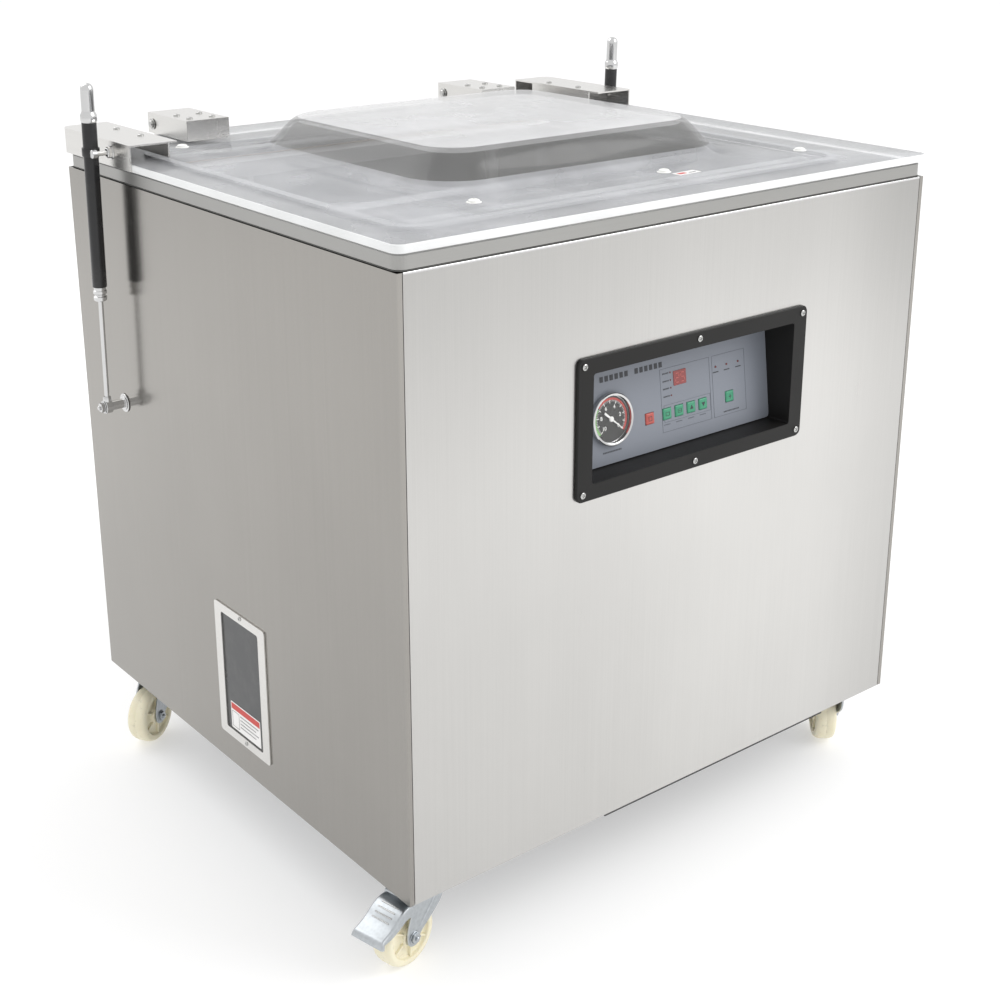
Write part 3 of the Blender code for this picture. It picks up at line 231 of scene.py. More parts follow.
class Sock:
    # a socket that adds, subtracts and multiplies like a number
    def __init__(self, finish, socket):
        self.finish, self.socket = finish, socket

    def math(self, operation, a, b):
        return self.finish.node("ShaderNodeMath", {"operation": operation}, {0: a, 1: b})

    def __add__(self, other):
        return self.math("ADD", self, other)

    def __sub__(self, other):
        return self.math("SUBTRACT", self, other)

    def __rsub__(self, other):
        return self.math("SUBTRACT", other, self)

    def __mul__(self, other):
        return self.math("MULTIPLY", self, other)

    __radd__ = __add__
    __rmul__ = __mul__

    def ramp(self, low, high):
        # 0 below low, 1 above high, a smooth step between
        values = {"Value": self, "From Min": low, "From Max": high}
        return self.finish.node("ShaderNodeMapRange", {"interpolation_type": "SMOOTHSTEP"}, values)


class Finish:
    # one Principled material; node() makes every other node
    def __init__(self, name):
        self.material = bpy.data.materials.new(name)
        self.material.use_nodes = True
        self.tree = self.material.node_tree
        self.shader = self.tree.nodes["Principled BSDF"]
        self.coords = self.node("ShaderNodeTexCoord", {}, {}, "Object")

    def put(self, node, name, value):
        if isinstance(value, Sock):
            self.tree.links.new(value.socket, node.inputs[name])
        elif isinstance(node.inputs[name].default_value, float):
            node.inputs[name].default_value = value
        else:
            wanted = len(node.inputs[name].default_value)
            node.inputs[name].default_value = (*value, 1.0)[:wanted]

    def node(self, kind, settings, values, out=0):
        made = self.tree.nodes.new(kind)
        for name, value in settings.items():
            setattr(made, name, value)
        for name, value in values.items():
            self.put(made, name, value)
        return Sock(self, made.outputs[out])

    def noise(self, scale, detail, rough, stretch=(1, 1, 1)):
        # fractal noise from 0 to 1 on coordinates stretched by three factors
        place = self.node("ShaderNodeMapping", {}, {"Vector": self.coords, "Scale": stretch})
        values = {"Vector": place, "Scale": scale, "Detail": detail, "Roughness": rough}
        return self.node("ShaderNodeTexNoise", {}, values)

    def part(self, axis):
        # one coordinate of the object's own position
        return self.node("ShaderNodeSeparateXYZ", {}, {"Vector": self.coords}, "XYZ".index(axis))

    def blend(self, share, first, second, kind="MIX"):
        # first where share is 0, second where it is 1
        return self.node("ShaderNodeMix", {"data_type": "RGBA", "blend_type": kind},
                         {0: share, 6: first, 7: second}, 2)

    def shade(self, colour, amount):
        # colour times a grey amount
        grey = self.node("ShaderNodeCombineColor", {}, {0: amount, 1: amount, 2: amount})
        return self.blend(1.0, colour, grey, "MULTIPLY")

    def bump(self, height, strength, distance):
        return self.node("ShaderNodeBump", {}, {"Height": height, "Strength": strength, "Distance": distance})

    def done(self, **sockets):
        # sockets by their names, with spaces left out
        named = {socket.name.replace(" ", ""): socket.name for socket in self.shader.inputs}
        for name, value in sockets.items():
            self.put(self.shader, named[name], value)
        return self.material


def brushed(name, colour, roughness, grain, cloud=0.10, dents=0.0, shadeBands=()):
    # brushed sheet: streaks along the grain, a cloudy haze, faint wipe marks, and painted shade bands that darken it
    # towards some edges
    f = Finish(name)
    streak = f.noise(1.0, 5.0, 0.6, grain)
    fine = f.noise(1.0, 3.0, 0.7, tuple(3.1 * g for g in grain))
    haze = f.noise(3.2, 3.0, 0.5)
    wipe = f.noise(9.0, 5.0, 0.6, (1.0, 1.0, 0.35))
    tone = 1 + (streak - 0.5) * 0.10 + (fine - 0.5) * 0.06 + (haze - 0.5) * cloud + (wipe - 0.5) * cloud * 0.5
    # painted shade: each band darkens the colour towards one side of the part, broken up by the haze
    for axis, low, high, depth in shadeBands:
        tone = tone - f.part(axis).ramp(low, high) * depth * (0.6 + haze * 0.8)
    rough = roughness + (haze - 0.5) * 0.10 + (wipe - 0.5) * 0.08 + (streak - 0.5) * 0.06
    height = streak * 0.6 + fine * 0.4 + haze * dents
    return f.done(BaseColor=f.shade(colour, tone), Roughness=rough, Metallic=1.0,
                  Normal=f.bump(height, 0.30, 0.00012))


def mouldedPlastic(name, colour, roughness, grainSize=900.0, depth=0.00008):
    # moulded plastic: fine spark-eroded grain, with slow changes of gloss from handling
    f = Finish(name)
    grain = f.noise(grainSize, 2.0, 0.5)
    slow = f.noise(22.0, 4.0, 0.6)
    return f.done(BaseColor=f.shade(colour, 0.94 + slow * 0.12 + (grain - 0.5) * 0.08),
                  Roughness=roughness + (slow - 0.5) * 0.18, SpecularIORLevel=0.22,
                  Normal=f.bump(grain, 0.35, depth))


def plated(name, colour, roughness, spangle=0.0):
    # bright plate: fine wiping scratches, and on zinc a soft crystal spangle
    f = Finish(name)
    scratch = f.noise(160.0, 3.0, 0.7, (1.0, 0.08, 1.0))
    slow = f.noise(18.0, 4.0, 0.6)
    crystal = f.node("ShaderNodeTexVoronoi", {}, {"Vector": f.coords, "Scale": 260.0}, "Distance")
    tone = 0.97 + (slow - 0.5) * 0.14 + (crystal - 0.4) * spangle
    return f.done(BaseColor=f.shade(colour, tone), Metallic=1.0,
                  Roughness=roughness + (scratch - 0.5) * 0.10 + (slow - 0.5) * 0.12,
                  Normal=f.bump(scratch, 0.15, 0.00005))


def painted(name, colour, roughness, peel=320.0, metallic=0.0, dirt=0.25):
    # sprayed paint: orange peel, with dust that dulls it in patches
    f = Finish(name)
    skin = f.noise(peel, 2.0, 0.5)
    dust = f.noise(14.0, 5.0, 0.65)
    dusty = f.blend(dust.ramp(0.45, 0.75) * dirt, f.shade(colour, 0.95 + skin * 0.1), (0.30, 0.29, 0.27))
    return f.done(BaseColor=dusty, Roughness=roughness + (dust - 0.5) * 0.25, Metallic=metallic,
                  Normal=f.bump(skin, 0.30, 0.00015))


def rubbery(name, colour, roughness, mottle=0.12):
    # rubber and soft silicone: matt skin with a fine bloom
    f = Finish(name)
    bloom = f.noise(60.0, 5.0, 0.6)
    pore = f.noise(1400.0, 2.0, 0.5)
    return f.done(BaseColor=f.shade(colour, 1 - mottle / 2 + bloom * mottle),
                  Roughness=roughness + (bloom - 0.5) * 0.15, Normal=f.bump(pore, 0.25, 0.00006))


# painted shade: the sides and rear take a darker copy of the same steel as the front, which takes the lit copy
steelSideShaded = brushed("steelSideShaded", (0.325, 0.312, 0.292), 0.17, (640.0, 640.0, 2.4), 0.14, 0.2)
# painted shade: the front's bands darken it towards its top and both side edges
steelFrontLit = brushed("steelFrontLit", (0.600, 0.592, 0.575), 0.30, (640.0, 640.0, 2.4), 0.16, 0.2,
                     [("Z", 0.50, 0.80, 0.17), ("X", 0.20, 0.42, 0.18), ("X", 0.10, -0.40, 0.10)])
steelDeck = brushed("steelDeck", (0.355, 0.352, 0.340), 0.30, (2.4, 640.0, 640.0), 0.16)
steelTub = brushed("steelTub", (0.40, 0.405, 0.42), 0.42, (2.4, 520.0, 520.0), 0.08)
steelFold = brushed("steelFold", (0.70, 0.69, 0.67), 0.26, (520.0, 2.4, 520.0), 0.10)
chromePlate = plated("chromePlate", (0.62, 0.62, 0.62), 0.13)
zincPlate = plated("zincPlate", (0.47, 0.495, 0.515), 0.33, 0.16)
screwSteel = plated("screwSteel", (0.52, 0.52, 0.51), 0.22)
barAluminium = brushed("barAluminium", (0.74, 0.74, 0.75), 0.36, (3.0, 700.0, 700.0), 0.06)
blackPaint = painted("blackPaint", (0.007, 0.007, 0.008), 0.26, 420.0, 0.0, 0.06)
framePaint = painted("framePaint", (0.20, 0.21, 0.22), 0.58)
trayPaint = painted("trayPaint", (0.035, 0.035, 0.035), 0.62)
motorPaint = painted("motorPaint", (0.18, 0.20, 0.22), 0.48)
castIron = painted("castIron", (0.15, 0.19, 0.23), 0.60, 180.0, 0.2)
blackPlastic = mouldedPlastic("blackPlastic", (0.0125, 0.0120, 0.0115), 0.46, 700.0, 0.00012)
cableBlack = mouldedPlastic("cableBlack", (0.025, 0.025, 0.025), 0.52)
needleWhite = mouldedPlastic("needleWhite", (0.90, 0.90, 0.88), 0.45)
siliconeWhite = rubbery("siliconeWhite", (0.52, 0.525, 0.535), 0.5)
hoseRubber = rubbery("hoseRubber", (0.035, 0.035, 0.036), 0.68)
brassFinish = plated("brassFinish", (0.72, 0.55, 0.27), 0.34)
print("plain finishes made")


def clearAcrylic(name, colour, alpha, cloud):
    # clear sheet: a thin wiped film and scuffs that catch the light
    f = Finish(name)
    film = f.noise(9.0, 2.0, 0.5).ramp(0.30, 0.80)
    scuff = f.noise(30.0, 3.0, 0.5, (1.0, 0.5, 1.0)).ramp(0.40, 0.90)
    return f.done(BaseColor=f.shade(colour, 0.97 + film * 0.06), Roughness=0.06 + film * 0.06 + scuff * 0.14, IOR=1.49,
                  Alpha=alpha + film * cloud + scuff * cloud * 0.6)


def creamNylon():
    # cast nylon tread: creamy, a little mottled, with rolled-in dirt
    f = Finish("creamNylon")
    mottle = f.noise(48.0, 4.0, 0.6)
    dirt = f.noise(120.0, 5.0, 0.7).ramp(0.56, 0.72)
    colour = f.blend(mottle, (0.74, 0.685, 0.49), (0.84, 0.79, 0.62))
    return f.done(BaseColor=f.blend(dirt * 0.35, colour, (0.42, 0.38, 0.30)), Roughness=0.42 + dirt * 0.25,
                  SubsurfaceWeight=0.15, SubsurfaceRadius=(0.004, 0.003, 0.002), Normal=f.bump(mottle, 0.2, 0.0003))


def smokedPane():
    # smoked acrylic: dark and glossy, with a fine dust film
    f = Finish("smokedPane")
    dust = f.noise(34.0, 6.0, 0.65)
    return f.done(BaseColor=f.blend(dust.ramp(0.4, 0.8) * 0.5, (0.044, 0.046, 0.048), (0.085, 0.085, 0.085)),
                  Roughness=0.10 + dust * 0.12, SpecularIORLevel=0.35, CoatWeight=0.15)


def printedFace():
    # printed polyester overlay: blue-grey, slightly textured
    f = Finish("printedFace")
    weave = f.noise(1600.0, 1.0, 0.5)
    slow = f.noise(9.0, 3.0, 0.5)
    return f.done(BaseColor=f.shade((0.215, 0.232, 0.268), 0.95 + slow * 0.10 + (weave - 0.5) * 0.06),
                  Roughness=0.46 + (slow - 0.5) * 0.1, Normal=f.bump(weave, 0.2, 0.00003))


def keyFinish(name, colour):
    # embossed key: glossy film with wear where fingers press
    f = Finish(name)
    wear = f.noise(260.0, 4.0, 0.6)
    return f.done(BaseColor=f.shade(colour, 0.9 + wear * 0.22), Roughness=0.30 + wear * 0.15, CoatWeight=0.25,
                  Normal=f.bump(wear, 0.1, 0.00004))


def inkFinish(name, colour, roughness=0.5):
    # printed ink: a thin layer, slightly broken up
    f = Finish(name)
    grain = f.noise(1800.0, 3.0, 0.6)
    return f.done(BaseColor=f.shade(colour, 0.92 + grain * 0.16), Roughness=roughness + (grain - 0.5) * 0.1)


def boardFinish():
    # circuit board: solder mask with darker tracks between copper areas
    f = Finish("boardFinish")
    track = f.node("ShaderNodeTexVoronoi", {"feature": "DISTANCE_TO_EDGE"}, {"Vector": f.coords, "Scale": 110.0})
    line = 1 - track.ramp(0.03, 0.07)
    return f.done(BaseColor=f.blend(line, (0.03, 0.22, 0.10), (0.06, 0.36, 0.18)), Roughness=0.36,
                  Normal=f.bump(line, 0.3, 0.0001))


def litDisplay(name, colour, strength):
    f = Finish(name)
    cell = f.noise(900.0, 2.0, 0.5)
    return f.done(BaseColor=f.shade(colour, 0.9 + cell * 0.2), Roughness=0.22, CoatWeight=0.5,
                  EmissionColor=f.shade(colour, 1.0), EmissionStrength=strength)


acrylicSheet = clearAcrylic("acrylicSheet", (0.68, 0.69, 0.715), 0.32, 0.14)
# painted reflection and painted shade: the crown's whiter copy of the sheet stands for the bright room it reflects, the
# bends' darker copy for how they look seen nearly along the sheet
acrylicCrownLit = clearAcrylic("acrylicCrownLit", (0.90, 0.90, 0.91), 0.44, 0.04)
acrylicBendShaded = clearAcrylic("acrylicBendShaded", (0.23, 0.23, 0.225), 0.40, 0.03)
# painted highlight: the rim takes a pale, nearly opaque copy of the sheet for the bright line a polished edge shows
acrylicEdgeHighlight = clearAcrylic("acrylicEdgeHighlight", (0.84, 0.85, 0.85), 0.86, 0.06)
gaugeGlass = clearAcrylic("gaugeGlass", (0.85, 0.85, 0.85), 0.025, 0.01)
nylonCream = creamNylon()
paneSmoked = smokedPane()
faceGrey = printedFace()
keyRed = keyFinish("keyRed", (0.44, 0.075, 0.058))
keyGreen = keyFinish("keyGreen", (0.035, 0.27, 0.145))
inkDark = inkFinish("inkDark", (0.035, 0.038, 0.045))
inkPale = inkFinish("inkPale", (0.80, 0.80, 0.78))
inkMid = inkFinish("inkMid", (0.110, 0.120, 0.145))
inkRed = inkFinish("inkRed", (0.55, 0.06, 0.05))
inkGreen = inkFinish("inkGreen", (0.25, 0.50, 0.18))
dialGrey = inkFinish("dialGrey", (0.028, 0.028, 0.027), 0.55)
stickerWhite = inkFinish("stickerWhite", (0.82, 0.81, 0.80), 0.40)
boardGreen = boardFinish()
displayRed = litDisplay("displayRed", (0.20, 0.030, 0.028), 0.25)
segmentRed = litDisplay("segmentRed", (0.36, 0.075, 0.065), 0.3)
lampRed = litDisplay("lampRed", (0.14, 0.035, 0.035), 0.1)
# painted shadow: a dark grey for the ring that fills the gap under the deck
gapShadowGrey = rubbery("gapShadowGrey", (0.11, 0.11, 0.105), 0.6)
tapeTan = rubbery("tapeTan", (0.46, 0.30, 0.17), 0.55, 0.3)
print("all finishes made")

nodeFinish = {
    steelSideShaded: ["side_panel_left", "side_panel_right", "rear_panel"],
    steelFrontLit: ["front_panel"],
    steelDeck: ["chamber_deck"],
    steelTub: ["chamber_tub"],
    steelFold: ["window_frame"] + [part + side for side in ("left", "right")
                                   for part in ("hinge_arm_", "hinge_base_", "strut_bracket_")],
    framePaint: ["chassis_frame"],
    trayPaint: ["base_tray"],
    siliconeWhite: ["lid_gasket", "counter_bar_front", "counter_bar_rear"],
    barAluminium: ["seal_bar_front", "seal_bar_rear"],
    blackPlastic: ["control_bezel"],
    cableBlack: ["cable_gland"],
    faceGrey: ["control_face"],
    gaugeGlass: ["gauge_lens"],
    paneSmoked: ["window_pane"],
    zincPlate: ["seal_transformer"] + ["caster_plate_" + where for where in
                                       ("front_left", "front_right", "rear_left", "rear_right")],
    castIron: ["vacuum_pump"],
    motorPaint: ["pump_motor"],
    hoseRubber: ["suction_hose"],
    brassFinish: ["air_valve"],
    boardGreen: ["control_board"],
}
for finish, names in nodeFinish.items():
    for name in names:
        slots = nodes[name].material_slots
        if not slots:
            nodes[name].data.materials.append(finish)
        for slot in slots:
            slot.material = finish
print("frame nodes finished")

screwForm = {"dome": 0.55, "recess": 0.30, "arm": 0.13, "reach": 0.62}


def screw(shape, centre, normal, radius, turn=0.4, mark=0):
    # pan head: height follows a quarter ellipse over the radius, less a cross where |x| or |y| is small
    t = np.array([0.0, 0.08, 0.16, 0.26, 0.38, 0.50, 0.60, 0.70, 0.82, 0.92, 0.98, 1.0])[::-1]
    angle = np.linspace(0, 2 * np.pi, 36, endpoint=False)
    x, y = t[:, None] * np.cos(angle), t[:, None] * np.sin(angle)
    height = screwForm["dome"] * (0.35 + 0.65 * np.sqrt(np.clip(1 - (0.96 * t[:, None]) ** 2, 0, 1))) + 0 * angle
    narrow = np.minimum(np.abs(x), np.abs(y))
    cross = (narrow < screwForm["arm"]) & (np.hypot(x, y) < screwForm["reach"])
    height = height - screwForm["recess"] * cross
    head = np.stack([x, y, height], 2)
    foot = head[:1].copy()
    foot[..., 2] = 0.0
    shape.grid(moved(np.vstack([foot, head]) * radius, facing(centre, normal, turn)), mark=mark)


def nut(shape, centre, normal, acrossFlats, height, bore, mark=0):
    # hexagon with both ends chamfered, then a domed stud end
    r = acrossFlats / math.sqrt(3)
    place = facing(centre, normal)
    shape.grid(turned([(r * 0.90, 0), (r, height * 0.14), (r, height * 0.86), (r * 0.90, height)], 6, place), mark=mark)
    stud = [(bore, height), (bore, height + bore * 0.6), (bore * 0.7, height + bore * 0.9), (bore * 0.1, height + bore)]
    shape.grid(turned(stud, 20, place), mark=mark)


def washer(shape, centre, normal, radius, thickness, mark=0):
    edge = thickness * 0.3
    profile = [(radius - edge, 0), (radius, edge), (radius, thickness - edge), (radius - edge, thickness)]
    shape.grid(turned(profile, 32, facing(centre, normal)), mark=mark)


sideLow, sideHigh = boxOf("side_panel_left")
sideX = -sideLow[0]
frontY, rearY = sideLow[1], sideHigh[1]
middleY = (frontY + rearY) / 2
bottomZ, cabinetTop = sideLow[2], sideHigh[2]
lidLow, lidHigh = boxOf("lid")
gasketLow, gasketHigh = boxOf("lid_gasket")
lidForm = {
    "thickness": 0.009, "corner": 0.012, "edge": 0.0014, "bend": (0.009, 0.0405),
    "crownShares": (0.03, 0.30, 0.55, 0.78, 0.92),
    "domeHalf": (0.245, 0.220), "domeCorner": 0.075, "wall": 0.0055,
    "gasketWidth": 0.0126, "gasketCorner": 0.0363, "grooveDepth": 0.0035,
    # how far in from the foot, and how high, down the dome's side
    "side": [(0.086, 0.0440), (0.070, 0.0433), (0.059, 0.0418), (0.050, 0.0375), (0.041, 0.0285), (0.032, 0.0175),
             (0.023, 0.0085), (0.013, 0.0030), (0.000, 0.0000)],
    "screwX": (-0.215, 0.058, 0.330), "screwRadius": 0.0062,
}


def planRing(halfX, halfY, corner, z, centreY, steps=12):
    flat = roundRect(halfX, halfY, corner, steps)
    return np.column_stack([flat[:, 0], flat[:, 1] + centreY, np.full(len(flat), z)])


def buildLid():
    f = lidForm
    bottom = lidLow[2]
    top = bottom + f["thickness"]
    centreY = (lidLow[1] + lidHigh[1]) / 2
    halfX, halfY = lidHigh[0], (lidHigh[1] - lidLow[1]) / 2
    side = smoothCurve(f["side"], 30)

    def domeRing(inset, z, extra=0.0):
        corner = max(f["domeCorner"] - 0.55 * inset - extra, 0.004)
        return planRing(f["domeHalf"][0] - inset, f["domeHalf"][1] - inset, corner, z, middleY)

    def drawnIn(edge):
        # rings drawn in to the middle, risen by the square of the way in
        rings = []
        for share in f["crownShares"]:
            ring = edge.copy()
            ring[:, 0] *= share
            ring[:, 1] = middleY + (edge[:, 1] - middleY) * share
            ring[:, 2] += rise * (1 - share ** 2)
            rings.append(ring)
        return rings

    rise = lidHigh[2] - top - side[0, 1]
    rings = drawnIn(domeRing(side[0, 0], top + side[0, 1]))
    rings += [domeRing(inset, top + height) for inset, height in side]
    edge = f["edge"]
    steps = [(edge, top), (edge * 0.3, top - edge * 0.3), (0, top - edge),
             (0, bottom + edge), (edge * 0.3, bottom + edge * 0.3), (edge, bottom)]
    edgeStart = len(rings)
    rings += [planRing(halfX - inset, halfY - inset, f["corner"] - inset, z, centreY) for inset, z in steps]
    outerX, outerY = gasketHigh[0] + 0.0003, (gasketHigh[1] - gasketLow[1]) / 2 + 0.0003
    grooveTop = bottom + f["grooveDepth"]
    for inset, z in ((0, bottom), (0, grooveTop), (f["gasketWidth"], grooveTop), (f["gasketWidth"], bottom)):
        rings.append(planRing(outerX - inset, outerY - inset, f["gasketCorner"] - inset, z, middleY))
    wall = f["wall"]
    under = side[::-1]
    slant = np.gradient(under[:, 1]) / (np.abs(np.gradient(under[:, 0])) + 1e-6)
    lean = slant / np.hypot(1, slant)
    drop = f["thickness"] + (wall - f["thickness"]) * np.linspace(0, 1, len(under))
    for (inset, height), pull, thick in zip(under, lean, drop):
        rings.append(domeRing(inset + wall * pull, top + height - thick * math.sqrt(1 - 0.75 * pull ** 2), 0.004))
    rings += drawnIn(rings[-1])[::-1]
    marks = np.zeros(len(rings) - 1, int)
    # painted highlight: the five rim faces take the pale edge copy
    marks[edgeStart:edgeStart + 5] = 1
    # painted shade: the bends take a darker copy of the sheet, for how they look seen nearly along it; painted
    # reflection: the crown takes a whiter copy, for the bright room above it
    steep = np.flatnonzero((side[:, 1] > f["bend"][0]) & (side[:, 1] < f["bend"][1])) + len(f["crownShares"])
    for way in (marks, marks[::-1]):
        way[:steep[0]] = 2
        way[steep[0]:steep[-1]] = 3
    finishes = [acrylicSheet, acrylicEdgeHighlight, acrylicCrownLit, acrylicBendShaded]
    Shape().grid(np.array(rings), mark=marks).make("lidShell", finishes, "lid", "clear_acrylic", ["lid"], 40)
    screws = Shape()
    for name in ("counter_bar_front", "counter_bar_rear"):
        low, high = boxOf(name)
        for x in f["screwX"] if "front" in name else [-x for x in f["screwX"]]:
            x = float(np.clip(x, low[0] + 0.012, high[0] - 0.012))
            washer(screws, (x, (low[1] + high[1]) / 2, top), (0, 0, 1), f["screwRadius"] * 1.35, 0.0006)
            screw(screws, (x, (low[1] + high[1]) / 2, top + 0.0006), (0, 0, 1), f["screwRadius"], x * 9)
    screws.make("lidScrews", needleWhite, "lid", "chrome")
    tag = Shape()
    spot = shift(0.075, frontY + 0.090, top) @ standing(0, 0, 0.06)
    tag.slab(roundRect(0.018, 0.007, 0.001, 3), 0.0, 0.0003, spot, 0.0001)
    tag.block((-0.014, -0.003, 0.0003), (-0.002, 0.003, 0.0004), spot, 0.00003, 1)
    tag.block((0.002, -0.003, 0.0003), (0.013, -0.001, 0.0004), spot, 0.00003, 2)
    tag.make("lidTag", [stickerWhite, inkRed, inkDark], "lid", "needle_white")


buildLid()
print("lid made")

strutForm = {"rod": 0.003, "exposed": 0.138, "gland": 0.017, "tube": 0.00875, "tubeLength": 0.201, "collar": 0.013,
             "cap": 0.032, "lugForward": 0.0145, "lugHeight": 0.32022, "lug": 0.006, "rodInside": 0.200}


def buildStrut(side):
    f = strutForm
    sign = -1 if side == "left" else 1
    foot = jointPlace("strut_swing_" + side)
    axis = unit(jointAxis("strut_extend_" + side))
    across = np.array([1.0, 0, 0])
    place = basis(foot, across, np.cross(axis, across), axis)
    low = f["exposed"]
    tubeLow = low + f["gland"]
    tubeHigh = tubeLow + f["tubeLength"]
    r = f["tube"]
    shape = Shape()
    bore = f["rod"] + 0.0003
    # gland with two grooves, then the painted tube rolled in at both ends
    gland = [(bore, tubeLow - 0.004), (bore, low), (r - 0.0019, low), (r - 0.0010, low + 0.0008),
             (r - 0.0006, low + 0.005), (r - 0.0020, low + 0.0062), (r - 0.0020, low + 0.0080),
             (r - 0.0006, low + 0.0092), (r - 0.0006, low + 0.0125), (r - 0.0016, low + 0.0135),
             (r - 0.0016, tubeLow + 0.001), (0.0008, tubeLow + 0.001)]
    shape.grid(turned(gland, 40, place), mark=1)
    tube = [(r - 0.0016, tubeLow), (r - 0.0004, tubeLow + 0.0003), (r, tubeLow + 0.0012), (r, tubeHigh - 0.001),
            (r - 0.0004, tubeHigh), (r - 0.003, tubeHigh)]
    shape.grid(turned(tube, 40, place), mark=0)
    collarHigh = tubeHigh + f["collar"]
    capHigh = collarHigh + f["cap"]
    cap = smoothCurve([(0.0077, collarHigh), (0.0077, capHigh - 0.010), (0.0073, capHigh - 0.0055),
                       (0.0055, capHigh - 0.0022), (0.0030, capHigh - 0.0006), (0.0004, capHigh)], 22)
    head = [(0.0004, tubeHigh - 0.003), (r - 0.0016, tubeHigh - 0.003), (r + 0.0004, tubeHigh),
            (r + 0.0010, tubeHigh + 0.001), (r + 0.0010, collarHigh - 0.0050), (r - 0.0002, collarHigh - 0.0030),
            (0.0077, collarHigh - 0.0008)]
    shape.grid(turned(np.vstack([head, cap]), 40, place), mark=1)
    # clamp band with its ear and the lug that takes the stud
    height = f["lugHeight"]
    band = [(r - 0.0004, height - 0.005), (r + 0.0014, height - 0.005), (r + 0.0017, height - 0.0044),
            (r + 0.0017, height + 0.0044), (r + 0.0014, height + 0.005), (r - 0.0004, height + 0.005)]
    shape.grid(turned(band, 40, place), closed=True, mark=0)
    outer = -f["lug"] if sign < 0 else 0.0
    lugPlace = place @ axes((0, 0, height), (0, -1, 0), (0, 0, 1))
    # the lug's own x runs forwards, y up the strut, z sideways
    span = (outer, outer + f["lug"])
    flip = lugPlace[:3, 2] @ across
    span = span if flip > 0 else (-span[1], -span[0])
    eye = roundRect(0.0052, 0.0052, 0.00519, 6) + [f["lugForward"], 0]
    shape.slab(eye, span[0], span[1], lugPlace, 0.0005, mark=1)
    shape.block((r - 0.001, -0.0042, span[0] + 0.0006), (f["lugForward"] - 0.001, 0.0042, span[1] - 0.0006),
                lugPlace, 0.0004, mark=1)
    shape.make("strutTube" + side.title(), [blackPaint, chromePlate], "strut_tube_" + side, "black_paint",
               ["strut_tube_" + side])

    rod = Shape()
    top = low + f["rodInside"]
    rod.grid(turned([(f["rod"], 0.0062), (f["rod"], top - 0.001), (f["rod"] - 0.001, top)], 28, place))
    rod.grid(turned([(0.0046, 0.0055), (0.0050, 0.0068), (0.0050, 0.0120), (0.0042, 0.0135)], 28, place))
    turnedEye = place @ facing((0, 0, 0), (1, 0, 0))
    ring = [(0.0043, -0.0045), (0.0078, -0.0045), (0.0085, -0.0038),
            (0.0085, 0.0038), (0.0078, 0.0045), (0.0043, 0.0045)]
    rod.grid(turned(ring, 36, turnedEye), closed=True)
    rod.make("strutRod" + side.title(), chromePlate, "strut_rod_" + side, "chrome", ["strut_rod_" + side])

    out = np.array([sign, 0.0, 0.0])
    wall = np.array([sign * sideX, foot[1], foot[2]]) + out * 0.0003
    mid = abs(foot[0]) - sideX - 0.0003
    bolt = Shape()
    washer(bolt, wall, out, 0.0120, 0.0014)
    washer(bolt, wall + out * 0.0014, out, 0.0090, 0.0012)
    spacer = [(0.0060, 0.0026), (0.0060, mid - 0.0048), (0.0040, mid - 0.0048), (0.0040, mid + 0.0048)]
    bolt.grid(turned(spacer, 28, facing(wall, out)))
    washer(bolt, wall + out * (mid + 0.0048), out, 0.0078, 0.0012)
    nut(bolt, wall + out * (mid + 0.0060), out, 0.0110, 0.0042, 0.0030)
    bolt.make("strutFoot" + side.title(), chromePlate, "cabinet", "chrome", ["strut_anchor_" + side])

    forward = np.array([0.0, -axis[2], axis[1]])
    stud = foot + axis * height + forward * f["lugForward"]
    stud[0] = sign * (sideX + 0.003 + 0.0003 + 0.002)
    pin = Shape()
    washer(pin, stud, out, 0.0085, 0.0010)
    nut(pin, stud + out * 0.0010, out, 0.0100, 0.0048, 0.0030)
    pin.make("studNut" + side.title(), chromePlate, "lid", "chrome")


for side in ("left", "right"):
    buildStrut(side)
print("struts made")

casterForm = {
    "radius": 0.0375, "half": 0.014, "trail": 0.030, "gap": 0.0015, "sheet": 0.0025, "crownTop": 0.0877,
    "crown": 0.027, "plateBolt": (0.034, 0.025), "pedalHinge": (0.032, 0.0822), "pedalHalf": 0.023,
    # height along the pedal's middle, from its hinge to the toe
    "pedal": [(0.000, 0.0012), (0.009, 0.0012), (0.018, -0.0012), (0.026, -0.0060), (0.033, -0.0110),
              (0.040, -0.0150), (0.0460, -0.0175), (0.0510, -0.0195), (0.0540, -0.0225), (0.0555, -0.0270)],
}


crosswise = basis((0, 0, 0), (1, 0, 0), (0, 0, -1), (0, 1, 0))


